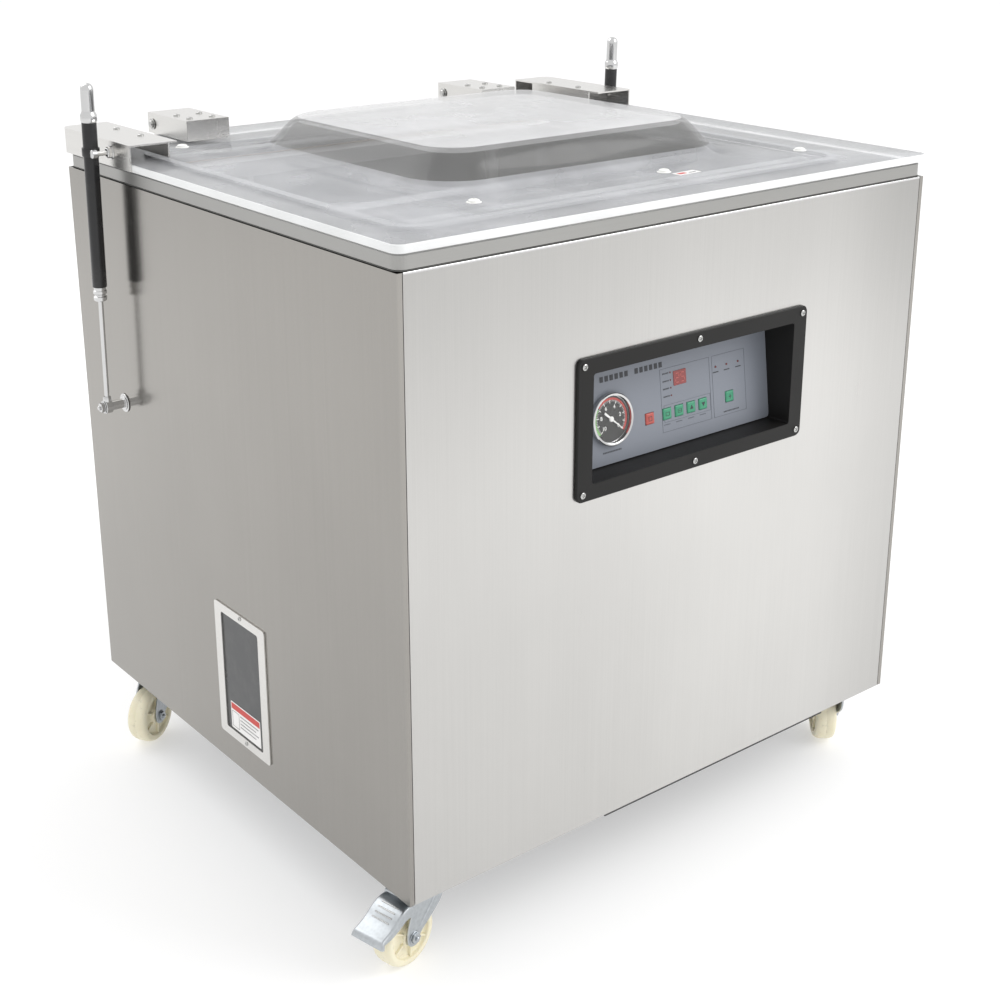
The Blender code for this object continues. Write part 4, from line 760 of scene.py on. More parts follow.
def buildCaster(where, braked):
    f = casterForm
    swivel = jointPlace("swivel_" + where)
    hub = jointPlace("roll_" + where)
    heading = math.atan2(hub[1] - swivel[1], hub[0] - swivel[0])
    place = standing(swivel[0], swivel[1], heading)
    name = titled(where)
    axle = place @ shift(f["trail"], 0, f["radius"]) @ crosswise
    r, half = f["radius"], f["half"]
    # tread with rounded shoulders and a mould line, then the dished web and the hub
    halfProfile = np.array([
        (r - 0.0002, 0.0), (r, 0.0006), (r, 0.0050), (r - 0.0004, 0.0080), (r - 0.0014, 0.0108),
        (r - 0.0032, 0.0130), (r - 0.0052, 0.0137), (0.0290, 0.0138), (0.0278, 0.0130), (0.0268, 0.0100),
        (0.0255, 0.0090), (0.0140, 0.0090),
        (0.0128, 0.0100), (0.0120, 0.0130), (0.0110, 0.0140), (0.0060, 0.0140), (0.0048, 0.0136)])
    lower = halfProfile[1:][::-1] * [1, -1]
    wheel = Shape()
    wheel.grid(turned(np.vstack([lower, halfProfile]), 72, axle), closed=True)
    for spoke in range(6):
        rib = axle @ facing((0, 0, 0), (0, 0, 1), spoke * math.pi / 3)
        wheel.block((0.0118, -0.0012, -0.0122), (0.0272, 0.0012, 0.0122), rib, 0.0006)
    wheel.make("wheel" + name, nylonCream, "caster_wheel_" + where, "cream_nylon", ["caster_wheel_" + where])

    crownLow = f["crownTop"] - 0.006
    inner = half + f["gap"]
    fork = Shape()
    reach, top, trail = f["crown"], f["crownTop"], f["trail"]
    crown = [(0.004, crownLow), (reach - 0.003, crownLow), (reach - 0.0008, crownLow + 0.0010),
             (reach, crownLow + 0.0028), (reach, top - 0.0005), (reach - 0.0005, top), (0.004, top)]
    fork.grid(turned(crown, 56, place))
    edge = smoothCurve([(-0.0195, crownLow + 0.0020), (-0.0188, crownLow - 0.008), (-0.0120, 0.062), (0.0060, 0.048),
                        (trail - 0.0105, r + 0.001), (trail - 0.0075, r - 0.0078), (trail, r - 0.0108),
                        (trail + 0.0075, r - 0.0078), (trail + 0.0108, r), (trail + 0.0095, 0.052),
                        (trail + 0.0035, 0.068), (0.0280, crownLow - 0.004), (0.0255, crownLow + 0.0020)], 60)
    legPlace = place @ crosswise
    outline = edge * [1, -1]
    for low in (inner, -inner - f["sheet"]):
        fork.slab(outline[::-1], low, low + f["sheet"], legPlace, 0.0006)
    # pressed stiffening bead down each leg
    outer = inner + f["sheet"]
    for out in (-outer, outer):
        bead = smoothCurve([(-0.008, crownLow - 0.004), (0.004, 0.063), (0.016, 0.051), (0.0215, 0.046)], 16)
        path = np.column_stack([bead[:, 0], np.full(16, out), bead[:, 1]])
        tangent = np.gradient(path, axis=0)
        tangent /= np.linalg.norm(tangent, axis=1)[:, None]
        across = np.cross(tangent, [0, 1.0, 0])
        angle = np.linspace(0, 2 * np.pi, 14, endpoint=False)
        width = 0.0020 * np.sqrt(np.sin(np.linspace(0.06, np.pi - 0.06, 16)))[:, None, None]
        tube = path[:, None] + width * (across[:, None] * np.cos(angle)[None, :, None] * 1.5
                                        + np.array([0, 1.0, 0]) * np.sin(angle)[None, :, None] * 0.55)
        fork.grid(moved(tube, place))
    fork.grid(turned([(0.0040, -outer), (0.0040, outer)], 28, axle))
    out = place[:3, :3] @ np.array([0, 1.0, 0])
    washer(fork, hub + out * outer, out, 0.0080, 0.0009)
    washer(fork, hub - out * outer, -out, 0.0080, 0.0009)
    nut(fork, hub + out * (outer + 0.0009), out, 0.0115, 0.0026, 0.0026)
    r6 = 0.0115 / math.sqrt(3)
    head = [(r6, 0), (r6, 0.0022), (r6 * 0.88, 0.0030), (0.0002, 0.0030)]
    fork.grid(turned(head, 6, facing(hub - out * (outer + 0.0009), -out)))
    fork.grid(turned([(0.0075, crownLow - 0.0042), (0.0078, crownLow - 0.0036), (0.0078, crownLow)], 6, place))
    fork.make("fork" + name, zincPlate, "caster_swivel_" + where, "zinc_steel", ["caster_fork_" + where])

    plateLow, plateHigh = boxOf("caster_plate_" + where)
    centre = (plateLow + plateHigh) / 2
    nuts = Shape()
    under = plateHigh[2] - 0.004
    for signX in (-1, 1):
        for signY in (-1, 1):
            spot = np.array([centre[0] + signX * f["plateBolt"][0], centre[1] + signY * f["plateBolt"][1], under])
            washer(nuts, spot, (0, 0, -1), 0.0070, 0.0010)
            nut(nuts, spot - [0, 0, 0.0010], (0, 0, -1), 0.0100, 0.0045, 0.0028)
    nuts.make("plateNuts" + name, zincPlate, "cabinet", "zinc_steel")
    if braked:
        buildPedal(name, where, place)


def buildPedal(name, where, place):
    # pressed sheet: a ring of points across the channel at each place along its length
    f = casterForm
    middle = smoothCurve(f["pedal"], 40)
    along = np.gradient(middle, axis=0)
    normal = np.stack([-along[:, 1], along[:, 0]], 1) / np.linalg.norm(along, axis=1)[:, None]
    share = np.linspace(0, 1, len(middle))
    half = f["pedalHalf"] * (0.89 + 0.05 * np.clip(share * 3.0, 0, 1) + 0.08 * np.clip(share * 4 - 3, 0, 1))
    flange = 0.0012 + 0.0100 * np.clip(1.15 - share * 1.45, 0, 1)
    sheet, bend = 0.0016, 0.0030
    turnStep = np.linspace(0, np.pi / 2, 5)
    loop = [(-1, 0, -1)]
    loop += [(-1, bend - bend * math.cos(a), math.sin(a)) for a in turnStep]
    loop += [(1, bend - bend * math.cos(a), math.sin(a)) for a in turnStep[::-1]]
    loop += [(1, 0, -1)]
    sign = np.array([p[0] for p in loop], float)
    inset = np.array([p[1] for p in loop])
    lift = np.array([p[2] for p in loop])
    outerY = sign[None] * (half[:, None] - inset[None])
    outerZ = np.where(lift[None] < 0, -flange[:, None] - bend, bend * (lift[None] - 1))
    innerY = sign[None] * (half[:, None] - np.maximum(inset[None], sheet))
    innerZ = np.where(lift[None] < 0, -flange[:, None] - bend, np.minimum(outerZ, 0) - sheet * (lift[None] > 0.3))
    ringY = np.hstack([outerY, innerY[:, ::-1]])
    ringZ = np.hstack([outerZ, innerZ[:, ::-1]])
    points = np.empty(ringY.shape + (3,))
    points[..., 0] = middle[:, :1] + normal[:, :1] * ringZ
    points[..., 1] = ringY
    points[..., 2] = middle[:, 1:] + normal[:, 1:] * ringZ
    hinge = place @ shift(f["pedalHinge"][0], 0, f["pedalHinge"][1])
    pedal = Shape()
    pedal.grid(moved(points, hinge))
    for step in (8, 11, 14, 17):
        spot, up = middle[step], normal[step]
        rib = basis((spot[0], 0, spot[1]), (up[1], 0, -up[0]), (0, 1, 0), (up[0], 0, up[1]))
        pedal.slab(roundRect(0.0008, 0.0125, 0.00079, 5), -0.0004, 0.0009, hinge @ rib, 0.0004, mark=1)
    rivet = [(0.0028, -0.0216), (0.0034, -0.0211), (0.0034, 0.0211), (0.0028, 0.0216)]
    pedal.grid(turned(rivet, 24, hinge @ crosswise))
    node = "brake_pedal_" + where
    pedal.make("pedal" + name, [zincPlate, screwSteel], node, "zinc_steel", [node])


for where, braked in (("front_left", True), ("front_right", True), ("rear_left", False), ("rear_right", False)):
    buildCaster(where, braked)
print("casters made")

panelForm = {
    "gauge": (-0.096, -0.011), "gaugeRadius": 0.030, "proud": 0.006,
    "screwIn": 0.0085, "screwRadius": 0.0036,
    "display": (0.012, 0.0150, 0.0100, 0.0085),
    "frames": [(-0.0185, -0.0440, 0.0600, 0.0290), (0.0640, -0.0440, 0.1180, 0.0290)],
    "lampV": 0.0155, "lampU": (0.070, 0.088, 0.107),
    # captions beside the display: rows, the top one's height and the step down
    "rows": 4, "rowTop": 0.0230, "rowStep": 0.0088,
    # print stands this high; the scale starts at an angle in degrees and spans another
    "print": (0.00004, 0.00022), "scaleFrom": -42, "scaleSpan": 264, "ticks": 50, "figures": 5,
}
bezelLow, bezelHigh = boxOf("control_bezel")
gaugePlace = jointPlace("gauge_needle_turn")
faceNormal = unit(jointAxis("gauge_needle_turn"))
faceUp = np.cross(faceNormal, [1.0, 0, 0])
faceMiddle = gaugePlace - panelForm["gauge"][0] * np.array([1.0, 0, 0]) - panelForm["gauge"][1] * faceUp
facePlace = basis(faceMiddle, (1.0, 0, 0), faceUp, faceNormal)
dialPlace = facePlace @ shift(*panelForm["gauge"], 0)


def strips(shape, rects, low, high, matrix, mark=0):
    for left, bottom, right, top in rects:
        shape.block((left, bottom, low), (right, top, high), matrix, 0.00003, mark)


def frameStrips(left, bottom, right, top, line=0.0004):
    return [(left, bottom, right, bottom + line), (left, top - line, right, top),
            (left, bottom + line, left + line, top - line), (right - line, bottom + line, right, top - line)]


def wordStrips(left, right, v, height, letter, gap):
    # a row of plain blocks, as long as a word or two would be
    count = max(1, int((right - left) / (letter + gap)))
    pitch = (right - left) / count
    return [(left + i * pitch, v - height / 2, left + i * pitch + letter, v + height / 2) for i in range(count)]


def buildPanel():
    f = panelForm
    screws = Shape()
    left, right = bezelLow[0] + f["screwIn"], bezelHigh[0] - f["screwIn"]
    low, high = bezelLow[2] + f["screwIn"], bezelHigh[2] - f["screwIn"]
    for x in (left, (left + right) / 2, right):
        for z in (low, high):
            screw(screws, (x, bezelLow[1], z), (0, -1, 0), f["screwRadius"], x * 7 + z * 5)
    screws.make("bezelScrews", screwSteel, "cabinet", "chrome")

    marks = Shape()
    rowHeights = [f["rowTop"] - row * f["rowStep"] for row in range(f["rows"])]
    dark = []
    for words in ((-0.108, -0.064, 0.0345, 0.0062, 0.0050, 0.0022), (-0.056, -0.012, 0.0345, 0.0062, 0.0050, 0.0022),
                  (-0.110, -0.082, -0.0475, 0.0018, 0.0014, 0.0008), (0.080, 0.106, -0.0400, 0.0016, 0.0012, 0.0008)):
        dark += wordStrips(*words)
    for v in rowHeights:
        dark += wordStrips(-0.0145, -0.0045, v, 0.0016, 0.0013, 0.0007)
    strips(marks, dark, *f["print"], facePlace, 0)
    pale = [rect for frameRect in f["frames"] for rect in frameStrips(*frameRect)]
    pale += frameStrips(-0.0150, -0.0330, 0.0590, -0.0131, 0.0003)
    for u in (-0.011, 0.008, 0.027, 0.046):
        pale += wordStrips(u - 0.005, u + 0.005, -0.0355, 0.0011, 0.0010, 0.0006)
    strips(marks, pale, *f["print"], facePlace, 1)
    marks.make("panelPrint", [inkDark, inkMid], "cabinet", "face_grey")

    u, v, halfU, halfV = f["display"]
    window = Shape()
    window.slab(roundRect(halfU, halfV, 0.001, 4), 0.0, 0.0006, facePlace @ shift(u, v, 0), 0.0002, 0)
    stroke, tall, wide = 0.0010, 0.0052, 0.0042
    for digit, lit in ((-1, "abged"), (1, "afgcd")):
        centre = facePlace @ shift(u + digit * 0.0042, v, 0.0006)
        places = {
            "a": (-wide / 2, tall - stroke / 2, wide / 2, tall + stroke / 2),
            "g": (-wide / 2, -stroke / 2, wide / 2, stroke / 2),
            "d": (-wide / 2, -tall - stroke / 2, wide / 2, -tall + stroke / 2),
            "f": (-wide / 2 - stroke, stroke, -wide / 2, tall - stroke),
            "b": (wide / 2, stroke, wide / 2 + stroke, tall - stroke),
            "e": (-wide / 2 - stroke, -tall + stroke, -wide / 2, -stroke),
            "c": (wide / 2, -tall + stroke, wide / 2 + stroke, -stroke)}
        strips(window, [places[name] for name in lit], 0.00002, 0.0002, centre, 1)
    for v in rowHeights:
        lamp = facePlace @ shift(-0.0024, v, 0)
        window.grid(turned([(0.0010, 0.0), (0.0010, 0.0003), (0.0007, 0.0007), (0.0001, 0.0008)], 16, lamp), mark=2)
    for lampU in f["lampU"]:
        lamp = facePlace @ shift(lampU, f["lampV"], 0)
        window.grid(turned([(0.0014, 0.0), (0.0014, 0.0004), (0.0010, 0.0009), (0.0001, 0.0011)], 18, lamp), mark=2)
        caption = (lampU - 0.0045, f["lampV"] - 0.0068, lampU + 0.0045, f["lampV"] - 0.0056)
        strips(window, [caption], *f["print"], facePlace, 3)
    window.make("panelDisplay", [displayRed, segmentRed, lampRed, inkDark], "cabinet", "face_grey")


def buildKeys():
    # pillow key: half width, corner and height of each ring follow a soft dome; each key has its own plain sign
    half = 0.0065
    levels = [(half, 0.0014, -0.0040), (half, 0.0014, 0.0004), (half - 0.0003, 0.0013, 0.0009),
              (half - 0.0010, 0.0011, 0.0013), (half - 0.0024, 0.0010, 0.0015), (half - 0.0050, 0.0005, 0.0016)]
    rings = np.array([planRing(size, size, corner, height, 0, 5) for size, corner, height in levels])
    signLow, signHigh = 0.00150, 0.00175
    signs = {
        "key_stop": [frameStrips(-0.0026, -0.0026, 0.0026, 0.0026, 0.0006)],
        "key_1": [frameStrips(-0.0030, -0.0022, 0.0030, 0.0022, 0.0005)],
        "key_2": [frameStrips(-0.0030, -0.0022, 0.0030, 0.0022, 0.0005), [(-0.0018, -0.0003, 0.0018, 0.0003)]],
        "key_3": "up", "key_4": "down",
        "key_mode": [[(-0.0004, -0.0026, 0.0004, 0.0026)], [(-0.0022, -0.0004, 0.0022, 0.0004)]],
    }
    for name, sign in signs.items():
        low, high = boxOf(name)
        centre = (low + high) / 2
        offset = np.linalg.inv(facePlace) @ np.append(centre, 1)
        place = facePlace @ shift(offset[0], offset[1], 0)
        finish, slot = (keyRed, "key_red") if name == "key_stop" else (keyGreen, "key_green")
        key = Shape().grid(moved(rings, place))
        if sign in ("up", "down"):
            way = 1 if sign == "up" else -1
            arrow = np.array([(0, 0.0028), (-0.0028, -0.0020), (0.0028, -0.0020)]) * [1, way]
            key.slab(arrow[::way], signLow, signHigh, place, 0.00005, 1)
        else:
            strips(key, [rect for part in sign for rect in part], signLow, signHigh, place, 1)
        key.make("cap" + titled(name), [finish, inkDark], name, slot, [name])


def buildGauge():
    f = panelForm
    r, proud = f["gaugeRadius"], f["proud"]
    rim = [(0.0012, 0.0005), (r - 0.0038, 0.0005), (r - 0.0036, proud - 0.0032), (r - 0.0034, proud - 0.0006),
           (r - 0.0024, proud - 0.0001), (r - 0.0012, proud), (r - 0.0004, proud - 0.0006), (r, proud - 0.0018),
           (r, 0.0006), (r - 0.0004, 0.0003), (r - 0.0022, 0.0003), (r - 0.0022, -0.022), (0.0012, -0.022)]
    Shape().grid(turned(rim, 72, dialPlace)).make("gaugeRim", chromePlate, "cabinet", "chrome", ["gauge_case"])
    dial = Shape()
    disc = [(0.0028, 0.00052), (r - 0.0042, 0.00052), (r - 0.0042, 0.00070), (0.0028, 0.00070)]
    dial.grid(turned(disc, 64, dialPlace), closed=True)

    def arc(fromDeg, toDeg, inner, outer, mark, count=30):
        # a flat band between two radii, thick enough to print on the dial
        angle = np.radians(np.linspace(fromDeg, toDeg, count))
        way = np.stack([np.cos(angle), np.sin(angle)], 1)
        section = [(inner, 0.00072), (outer, 0.00072), (outer, 0.00088), (inner, 0.00088)]
        rings = [np.column_stack([way * radius, np.full(count, height)]) for radius, height in section]
        dial.grid(moved(np.array(rings).transpose(1, 0, 2), dialPlace), mark=mark)

    arc(-42, 138, r - 0.0086, r - 0.0062, 2)
    arc(142, 222, r - 0.0086, r - 0.0062, 3)
    for step in range(f["ticks"] + 1):
        angle = f["scaleFrom"] + step * f["scaleSpan"] / f["ticks"]
        long = step % 5 == 0
        half = 1.5 if long else 0.6
        arc(angle - half, angle + half, r - (0.0124 if long else 0.0106), r - 0.0088, 1, 3)
    dial.make("gaugeDial", [dialGrey, inkPale, inkRed, inkGreen], "cabinet", "needle_white")
    for step in range(f["figures"] + 1):
        angle = math.radians(f["scaleFrom"] + step * f["scaleSpan"] / f["figures"])
        curve = bpy.data.curves.new("dialNumber" + str(step), "FONT")
        curve.body = str(step * 2)
        curve.size = 0.0062
        curve.offset = 0.00012
        curve.align_x = curve.align_y = "CENTER"
        curve.extrude = 0.00008
        letter = added("letter", curve)
        bpy.context.view_layer.update()
        graph = bpy.context.evaluated_depsgraph_get()
        mesh = bpy.data.meshes.new_from_object(letter.evaluated_get(graph))
        bpy.data.objects.remove(letter, do_unlink=True)
        spot = dialPlace @ shift((r - 0.0160) * math.cos(angle), (r - 0.0160) * math.sin(angle), 0.00082)
        mesh.vertices.foreach_set("co", moved(pointsOf(mesh), spot).ravel())
        mesh.materials.clear()
        mesh.materials.append(inkPale)
        number = added("dialNumber" + str(step), mesh)
        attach(number, "cabinet")


def buildNeedle():
    # blade from a broad tail through the hub to a fine tip, aimed where the frame's needle points
    points = pointsOf(nodes["gauge_needle"].data)
    points = np.column_stack([points, np.ones(len(points))])
    local = points @ np.array(nodes["gauge_needle"].matrix_world).T @ np.linalg.inv(dialPlace).T
    tip = local[np.argmax(np.hypot(local[:, 0], local[:, 1]))]
    place = dialPlace @ standing(0, 0, math.atan2(tip[1], tip[0]))
    length = math.hypot(tip[0], tip[1])
    low, high = local[:, 2].min(), local[:, 2].max()
    blade = np.array([(-0.0125, -0.0013), (0.0, -0.0010), (length, -0.00035),
                      (length, 0.00035), (0.0, 0.0010), (-0.0125, 0.0013)])
    needle = Shape()
    needle.slab(blade, (low + high) / 2, high, place, 0.00008)
    needle.grid(turned([(0.0030, low), (0.0030, high), (0.0024, high + 0.0004), (0.0002, high + 0.0006)], 28, place))
    needle.make("needleBlade", needleWhite, "gauge_needle", "needle_white", ["gauge_needle"])


buildPanel()
buildKeys()
buildGauge()
buildNeedle()
print("control panel made")

windowForm = {"screwRadius": 0.0028, "sticker": (0.0345, 0.0180), "dot": 0.0028}


def buildWindow():
    f = windowForm
    low, high = boxOf("window_frame")
    centre = (low + high) / 2
    face = low[0]
    out = (-1, 0, 0)
    screws = Shape()
    for z in (low[2] + 0.0058, high[2] - 0.0036):
        screw(screws, (face, centre[1] - 0.003, z), out, f["screwRadius"], z * 3)
    screws.make("windowScrews", screwSteel, "cabinet", "satin_steel")
    paneLow, paneHigh = boxOf("window_pane")
    # x runs towards the front, y up, z out of the side
    place = axes((paneLow[0], centre[1], paneLow[2]), (0, -1, 0), (0, 0, 1))
    dot = Shape()
    dot.grid(turned([(f["dot"], 0), (f["dot"], 0.0006), (f["dot"] * 0.6, 0.0012), (0.0001, 0.0013)], 24,
                    place @ shift(0.041, paneHigh[2] - paneLow[2] - 0.012, 0)))
    dot.make("paneCatch", blackPlastic, "cabinet", "black_plastic")
    halfX, halfY = f["sticker"]
    spot = place @ shift(0.0010, halfY + 0.0045, 0.0002)
    label = Shape()
    label.slab(roundRect(halfX, halfY, 0.0015, 4), 0.0, 0.00022, spot, 0.00008, 0)
    strips(label, [(-halfX + 0.0015, halfY - 0.0095, halfX - 0.0015, halfY - 0.0015)], 0.00024, 0.00036, spot, 1)
    lines = frameStrips(-halfX + 0.0030, -halfY + 0.0030, -halfX + 0.0190, halfY - 0.0120, 0.0005)
    for row in range(4):
        v = halfY - 0.0135 - row * 0.0048
        lines += wordStrips(-halfX + 0.0220, halfX - 0.0040 - 0.006 * (row % 2), v, 0.0014, 0.0016, 0.0009)
    strips(label, lines, 0.00024, 0.00036, spot, 2)
    label.make("paneSticker", [stickerWhite, inkRed, inkDark], "cabinet", "smoked_pane")


buildWindow()
print("window made")

rearForm = {
    "hoodHalf": 0.080, "hoodHeight": 0.0105, "hoodOut": 0.0072, "screwRadius": 0.0040,
    # louvre banks as the rear panel has them: places across, height of the first slot, step, count, slot height
    "banks": (-0.170, 0.170), "first": 0.180, "pitch": 0.018, "rows": 9, "slot": 0.006,
}


def buildSeam():
    # a dark grey ring in the gap under the deck, painted shadow for the shade in that gap, and the front sheet's rolled
    # top edge
    seam = Shape()
    halfX, halfY = sideX - 0.0014, (rearY - frontY) / 2 - 0.0014
    profile = [(0.0012, 0.0003), (0.0, 0.0007), (0.0, 0.0013), (0.0012, 0.0017), (0.0040, 0.0017), (0.0040, 0.0003)]
    rings = [planRing(halfX - inset, halfY - inset, 0.0106 - min(inset, 0.004), cabinetTop + z, middleY, 8)
             for inset, z in profile]
    seam.grid(np.array(rings), closed=True)
    seam.make("deckGapShadow", gapShadowGrey, "cabinet", "silicone")
    bead = Shape()
    frontLow, frontHigh = boxOf("front_panel")
    profile = [(0.0, -0.0022), (-0.0003, -0.0016), (-0.0003, -0.0004), (0.0, 0.0), (0.0010, 0.0), (0.0010, -0.0022)]
    x = np.array([frontLow[0] + 0.0005, frontHigh[0] - 0.0005])
    points = np.array([[(end, frontLow[1] + out, frontHigh[2] + up + 0.0002) for out, up in profile] for end in x])
    bead.grid(points)
    bead.make("frontBead", chromePlate, "cabinet", "brushed_steel")


hingeForm = {
    "armAcross": (-0.016, 0.016), "armAlong": (0.018, 0.052), "armScrew": 0.0042,
    "baseAcross": (-0.018, 0.018), "baseUp": (0.010, 0.026), "baseScrew": 0.0040, "baseProud": 0.0043,
    "pinPast": 0.006, "bracketIn": 0.016, "bracketAlong": (0.060, 0.125), "bracketScrew": 0.0040,
}


def buildHinges():
    f = hingeForm
    hinge = jointPlace("lid_hinge")
    for side in ("left", "right"):
        low, high = boxOf("hinge_arm_" + side)
        x = (low[0] + high[0]) / 2
        shape = Shape()
        for dx in f["armAcross"]:
            for y in [low[1] + along for along in f["armAlong"]]:
                screw(shape, (x + dx, y, high[2]), (0, 0, 1), f["armScrew"], y * 11 + dx * 30)
        shape.make("armScrews" + side.title(), screwSteel, "lid", "satin_steel")
        pins = Shape()
        head = [(0.0050, -0.0012), (0.0050, 0.0004), (0.0036, 0.0016), (0.0002, 0.0020)]
        for sign in (-1, 1):
            out = np.array([sign, 0, 0.0])
            end = np.array([x + sign * (high[0] - low[0] + f["pinPast"]) / 2, hinge[1], hinge[2]])
            washer(pins, end - out * 0.0024, out, 0.0072, 0.0010)
            pins.grid(turned(head, 28, facing(end, out)))
        baseLow = boxOf("hinge_base_" + side)[0]
        for dx in f["baseAcross"]:
            for dz in f["baseUp"]:
                screw(pins, (x + dx, rearY + f["baseProud"], baseLow[2] + dz), (0, 1, 0), f["baseScrew"],
                      dx * 40 + dz * 90)
        pins.make("hingePins" + side.title(), screwSteel, "cabinet", "satin_steel")
        low, high = boxOf("strut_bracket_" + side)
        inner = low[0] + f["bracketIn"] if side == "right" else high[0] - f["bracketIn"]
        caps = Shape()
        for y in [high[1] - along for along in f["bracketAlong"]]:
            screw(caps, (inner, y, high[2]), (0, 0, 1), f["bracketScrew"], y * 17)
        caps.make("bracketScrews" + side.title(), screwSteel, "lid", "satin_steel")


def buildChamber():
    for name in ("seal_bar_front", "seal_bar_rear"):
        low, high = boxOf(name)
        y = (low[1] + high[1]) / 2
        # tape over the heating band, laid on the bar's rounded face
        across = np.array([(-0.0052, 0.0), (-0.0046, 0.0), (0.0046, 0.0), (0.0052, 0.0)])
        lifted = across + np.array([(0, 0.00004), (0, 0.00012), (0, 0.00012), (0, 0.00004)])
        loop = np.vstack([lifted, across[::-1] + [0, 0.00001]])
        x = np.linspace(low[0] + 0.006, high[0] - 0.006, 24)
        points = np.empty((24, len(loop), 3))
        points[..., 0] = x[:, None]
        points[..., 1] = y + loop[None, :, 0]
        points[..., 2] = high[2] + loop[None, :, 1]
        tape = Shape().grid(points)
        tape.make("sealTape" + name.split("_")[-1].title(), tapeTan, name, "aluminium")
        ends = Shape()
        for sign in (-1, 1):
            end = low[0] if sign < 0 else high[0]
            screw(ends, (end, y, high[2] - 0.014), (sign, 0, 0), 0.0032, 0.3)
            inside, outside = sorted((end, end + sign * 0.0012))
            ends.block((inside, y - 0.0070, high[2] - 0.0085), (outside, y + 0.0070, high[2] - 0.0020))
        ends.make("sealEnds" + name.split("_")[-1].title(), screwSteel, name, "aluminium")
    rim = Shape()
    corner, top = 0.018, cabinetTop + 0.017
    halfX, halfY = gasketHigh[0] - 0.018, (gasketHigh[1] - gasketLow[1]) / 2 - 0.018
    profile = [(0.0, 0.0001), (0.0, 0.0005), (0.0006, 0.0010), (0.0016, 0.0010), (0.0022, 0.0005), (0.0022, 0.0001)]
    rings = [planRing(halfX + out + 0.0004, halfY + out + 0.0004, corner + out, top + up, middleY)
             for out, up in profile]
    rim.grid(np.array(rings), closed=True)
    rim.make("chamberRim", chromePlate, "cabinet", "brushed_steel")
    tubLow = boxOf("chamber_tub")[0]
    valveLow, valveHigh = boxOf("air_valve")
    port = Shape()
    centre = np.array([(valveLow[0] + valveHigh[0]) / 2, middleY, tubLow[2] + 0.002])
    ringProfile = [(0.0125, 0.0002), (0.0200, 0.0002), (0.0200, 0.0012), (0.0190, 0.0018), (0.0130, 0.0018)]
    port.grid(turned(ringProfile, 44, shift(*centre)), closed=True)
    for bar in range(-2, 3):
        y = bar * 0.0044
        reach = math.sqrt(0.0130 ** 2 - y ** 2)
        port.block((-reach, y - 0.0008, 0.0004), (reach, y + 0.0008, 0.0014), shift(*centre))
    port.make("suctionGrille", screwSteel, "cabinet", "satin_steel")


def buildRear():
    f = rearForm
    low, high = boxOf("rear_panel")
    hoods = Shape()
    along = np.linspace(-1, 1, 25)
    over = np.linspace(0, 1, 8)
    # hood: a quarter-round canopy whose height and depth shrink to nothing at both ends
    size = np.sqrt(np.clip(1 - along ** 4, 0.0004, 1))
    for bankX in f["banks"]:
        for row in range(f["rows"]):
            z = bottomZ + f["first"] + row * f["pitch"] + f["slot"]
            angle = over * np.pi / 2
            skin = np.empty((25, 8, 3))
            skin[..., 0] = bankX + along[:, None] * f["hoodHalf"]
            skin[..., 1] = high[1] + 0.0002 + f["hoodOut"] * size[:, None] * np.cos(angle)
            skin[..., 2] = z - 0.004 + f["hoodHeight"] * size[:, None] * np.sin(angle) * 0.8
            inner = skin[:, ::-1].copy()
            inner[..., 1] = high[1] + 0.0001 + np.clip(inner[..., 1] - high[1] - 0.0011, 0, 1)
            inner[..., 2] -= 0.0010 * size[:, None]
            hoods.grid(np.concatenate([skin, inner], 1))
    hoods.make("louvreHoods", steelSideShaded, "cabinet", "brushed_steel")
    screws = Shape()
    for x in (low[0] + 0.010, low[0] / 3, high[0] / 3, high[0] - 0.010):
        for z in (low[2] + 0.010, high[2] - 0.010):
            screw(screws, (x, high[1], z), (0, 1, 0), f["screwRadius"], x * 9 + z)
    for z in (low[2] + 0.23, low[2] + 0.46):
        for x in (low[0] + 0.010, high[0] - 0.010):
            screw(screws, (x, high[1], z), (0, 1, 0), f["screwRadius"], x * 9 + z)
    screws.make("rearScrews", screwSteel, "cabinet", "brushed_steel")
    plate = Shape()
    spot = axes((0.0, high[1], bottomZ + 0.430), (-1, 0, 0), (0, 0, 1))
    plate.slab(roundRect(0.045, 0.030, 0.003, 5), 0.0001, 0.0008, spot, 0.0002, 0)
    lines = frameStrips(-0.041, -0.026, 0.041, 0.026, 0.0006)
    for row in range(4):
        lines += frameStrips(-0.037, 0.012 - row * 0.011, 0.037, 0.020 - row * 0.011, 0.0004)
    strips(plate, lines, 0.0008, 0.00095, spot, 1)
    plate.make("ratingPlate", [screwSteel, inkDark], "cabinet", "brushed_steel")
    gland = boxOf("cable_gland")
    middle = (gland[0] + gland[1]) / 2
    collar = Shape()
    profile = [(0.0165, 0.0003), (0.0172, 0.0008), (0.0172, 0.0050),
               (0.0160, 0.0058), (0.0142, 0.0058), (0.0142, 0.0003)]
    collar.grid(turned(profile, 6, facing((middle[0], high[1], middle[2]), (0, 1, 0))), closed=True)
    collar.make("glandCollar", cableBlack, "cabinet", "black_plastic")
    earth = Shape()
    spot = np.array([middle[0] - 0.060, high[1], middle[2]])
    washer(earth, spot, (0, 1, 0), 0.0075, 0.0010)
    nut(earth, spot + [0, 0.0010, 0], (0, 1, 0), 0.0100, 0.0050, 0.0030)
    earth.make("earthStud", brassFinish, "cabinet", "brass")


buildSeam()
buildHinges()
buildChamber()
buildRear()
print("hinges, chamber and rear made")

stageForm = {"floorHalf": 14.0, "world": 1.0, "keySize": 3.0, "keyPower": 95.0, "fillPower": 45.0}


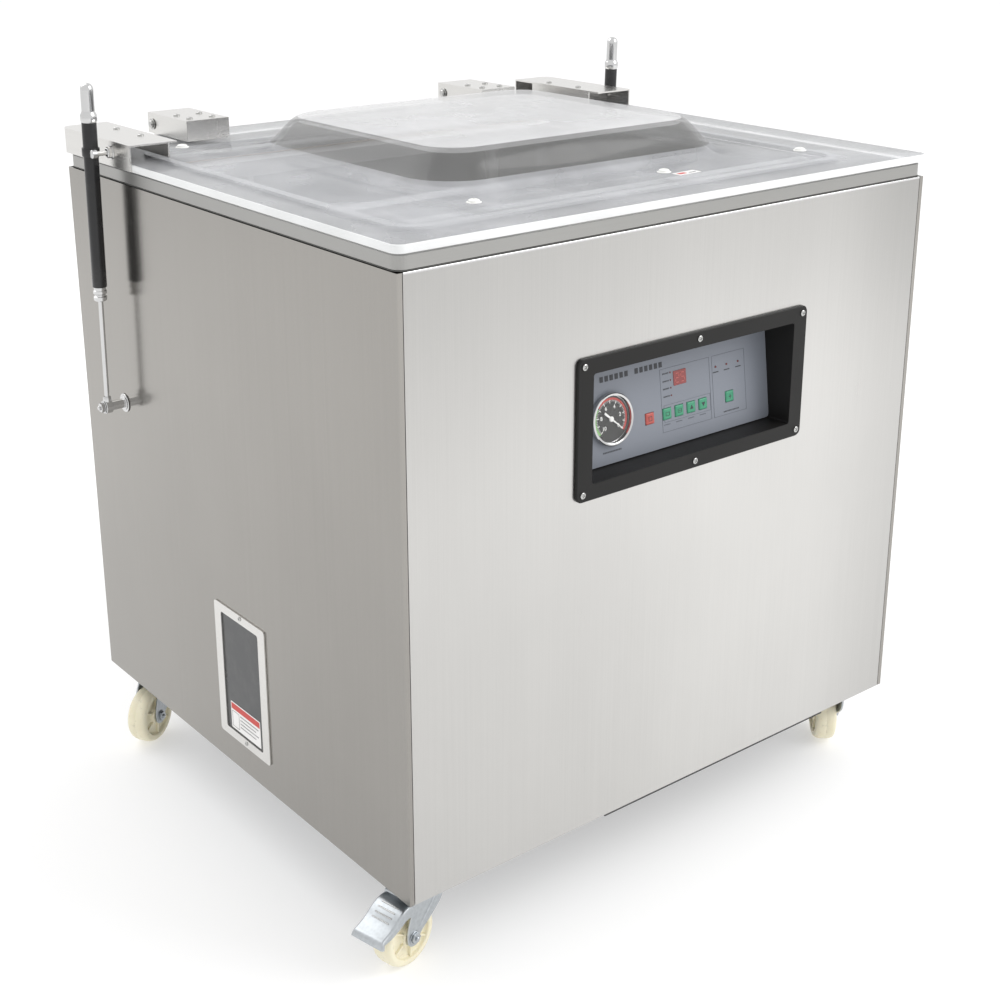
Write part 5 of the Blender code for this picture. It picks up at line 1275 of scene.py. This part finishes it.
def buildStage():
    f = stageForm
    half = f["floorHalf"]
    mesh = bpy.data.meshes.new("floor")
    mesh.from_pydata([(-half, -half, 0), (half, -half, 0), (half, half, 0), (-half, half, 0)], [], [(0, 1, 2, 3)])
    floor = added("floor", mesh)
    paint = Finish("paleFloor")
    mottle = paint.noise(0.8, 3.0, 0.5)
    pale = paint.shade((0.60, 0.60, 0.60), 0.995 + mottle * 0.01)
    mesh.materials.append(paint.done(BaseColor=pale, Roughness=0.75, EmissionColor=(1, 1, 1), EmissionStrength=0.40))
    world = bpy.data.worlds.new("softRoom")
    bpy.context.scene.world = world
    world.use_nodes = True
    back = world.node_tree.nodes["Background"]
    back.inputs["Color"].default_value = (1.0, 1.0, 1.0, 1.0)
    back.inputs["Strength"].default_value = f["world"]
    for name, place, size, power in (("keyLight", (2.6, -2.8, 3.2), f["keySize"], f["keyPower"]),
                                     ("fillLight", (-1.0, 2.6, 3.4), 3.0, f["fillPower"])):
        data = bpy.data.lights.new(name, "AREA")
        data.shape = "SQUARE"
        data.size = size
        data.energy = power
        lamp = added(name, data)
        lamp.location = place
        lamp.rotation_mode = "QUATERNION"
        lamp.rotation_quaternion = (Vector((0, 0, 0.45)) - Vector(place)).to_track_quat("-Z", "Y")


cameraForm = {"distance": 2.07, "azimuth": -38.74, "elevation": 18.57, "target": (0.407, 0.355, 0.389), "lens": 57.4,
              "shift": -0.10}


def buildCamera():
    # stands at an azimuth and elevation about a target measured from the cabinet's front left foot
    f = cameraForm
    azimuth, elevation = math.radians(f["azimuth"]), math.radians(f["elevation"])
    corner = Vector((-sideX, frontY, bottomZ))
    target = corner + Vector(f["target"])
    level = math.cos(elevation)
    back = Vector((math.sin(azimuth) * level, -math.cos(azimuth) * level, math.sin(elevation)))
    data = bpy.data.cameras.new("camera")
    data.sensor_width = 36.0
    data.lens = f["lens"]
    data.shift_y = f["shift"]
    data.clip_end = 60.0
    camera = added("camera", data)
    camera.location = target + back * f["distance"]
    camera.rotation_mode = "QUATERNION"
    camera.rotation_quaternion = (-back).to_track_quat("-Z", "Y")
    bpy.context.scene.camera = camera


buildStage()
buildCamera()
print("stage and camera made")
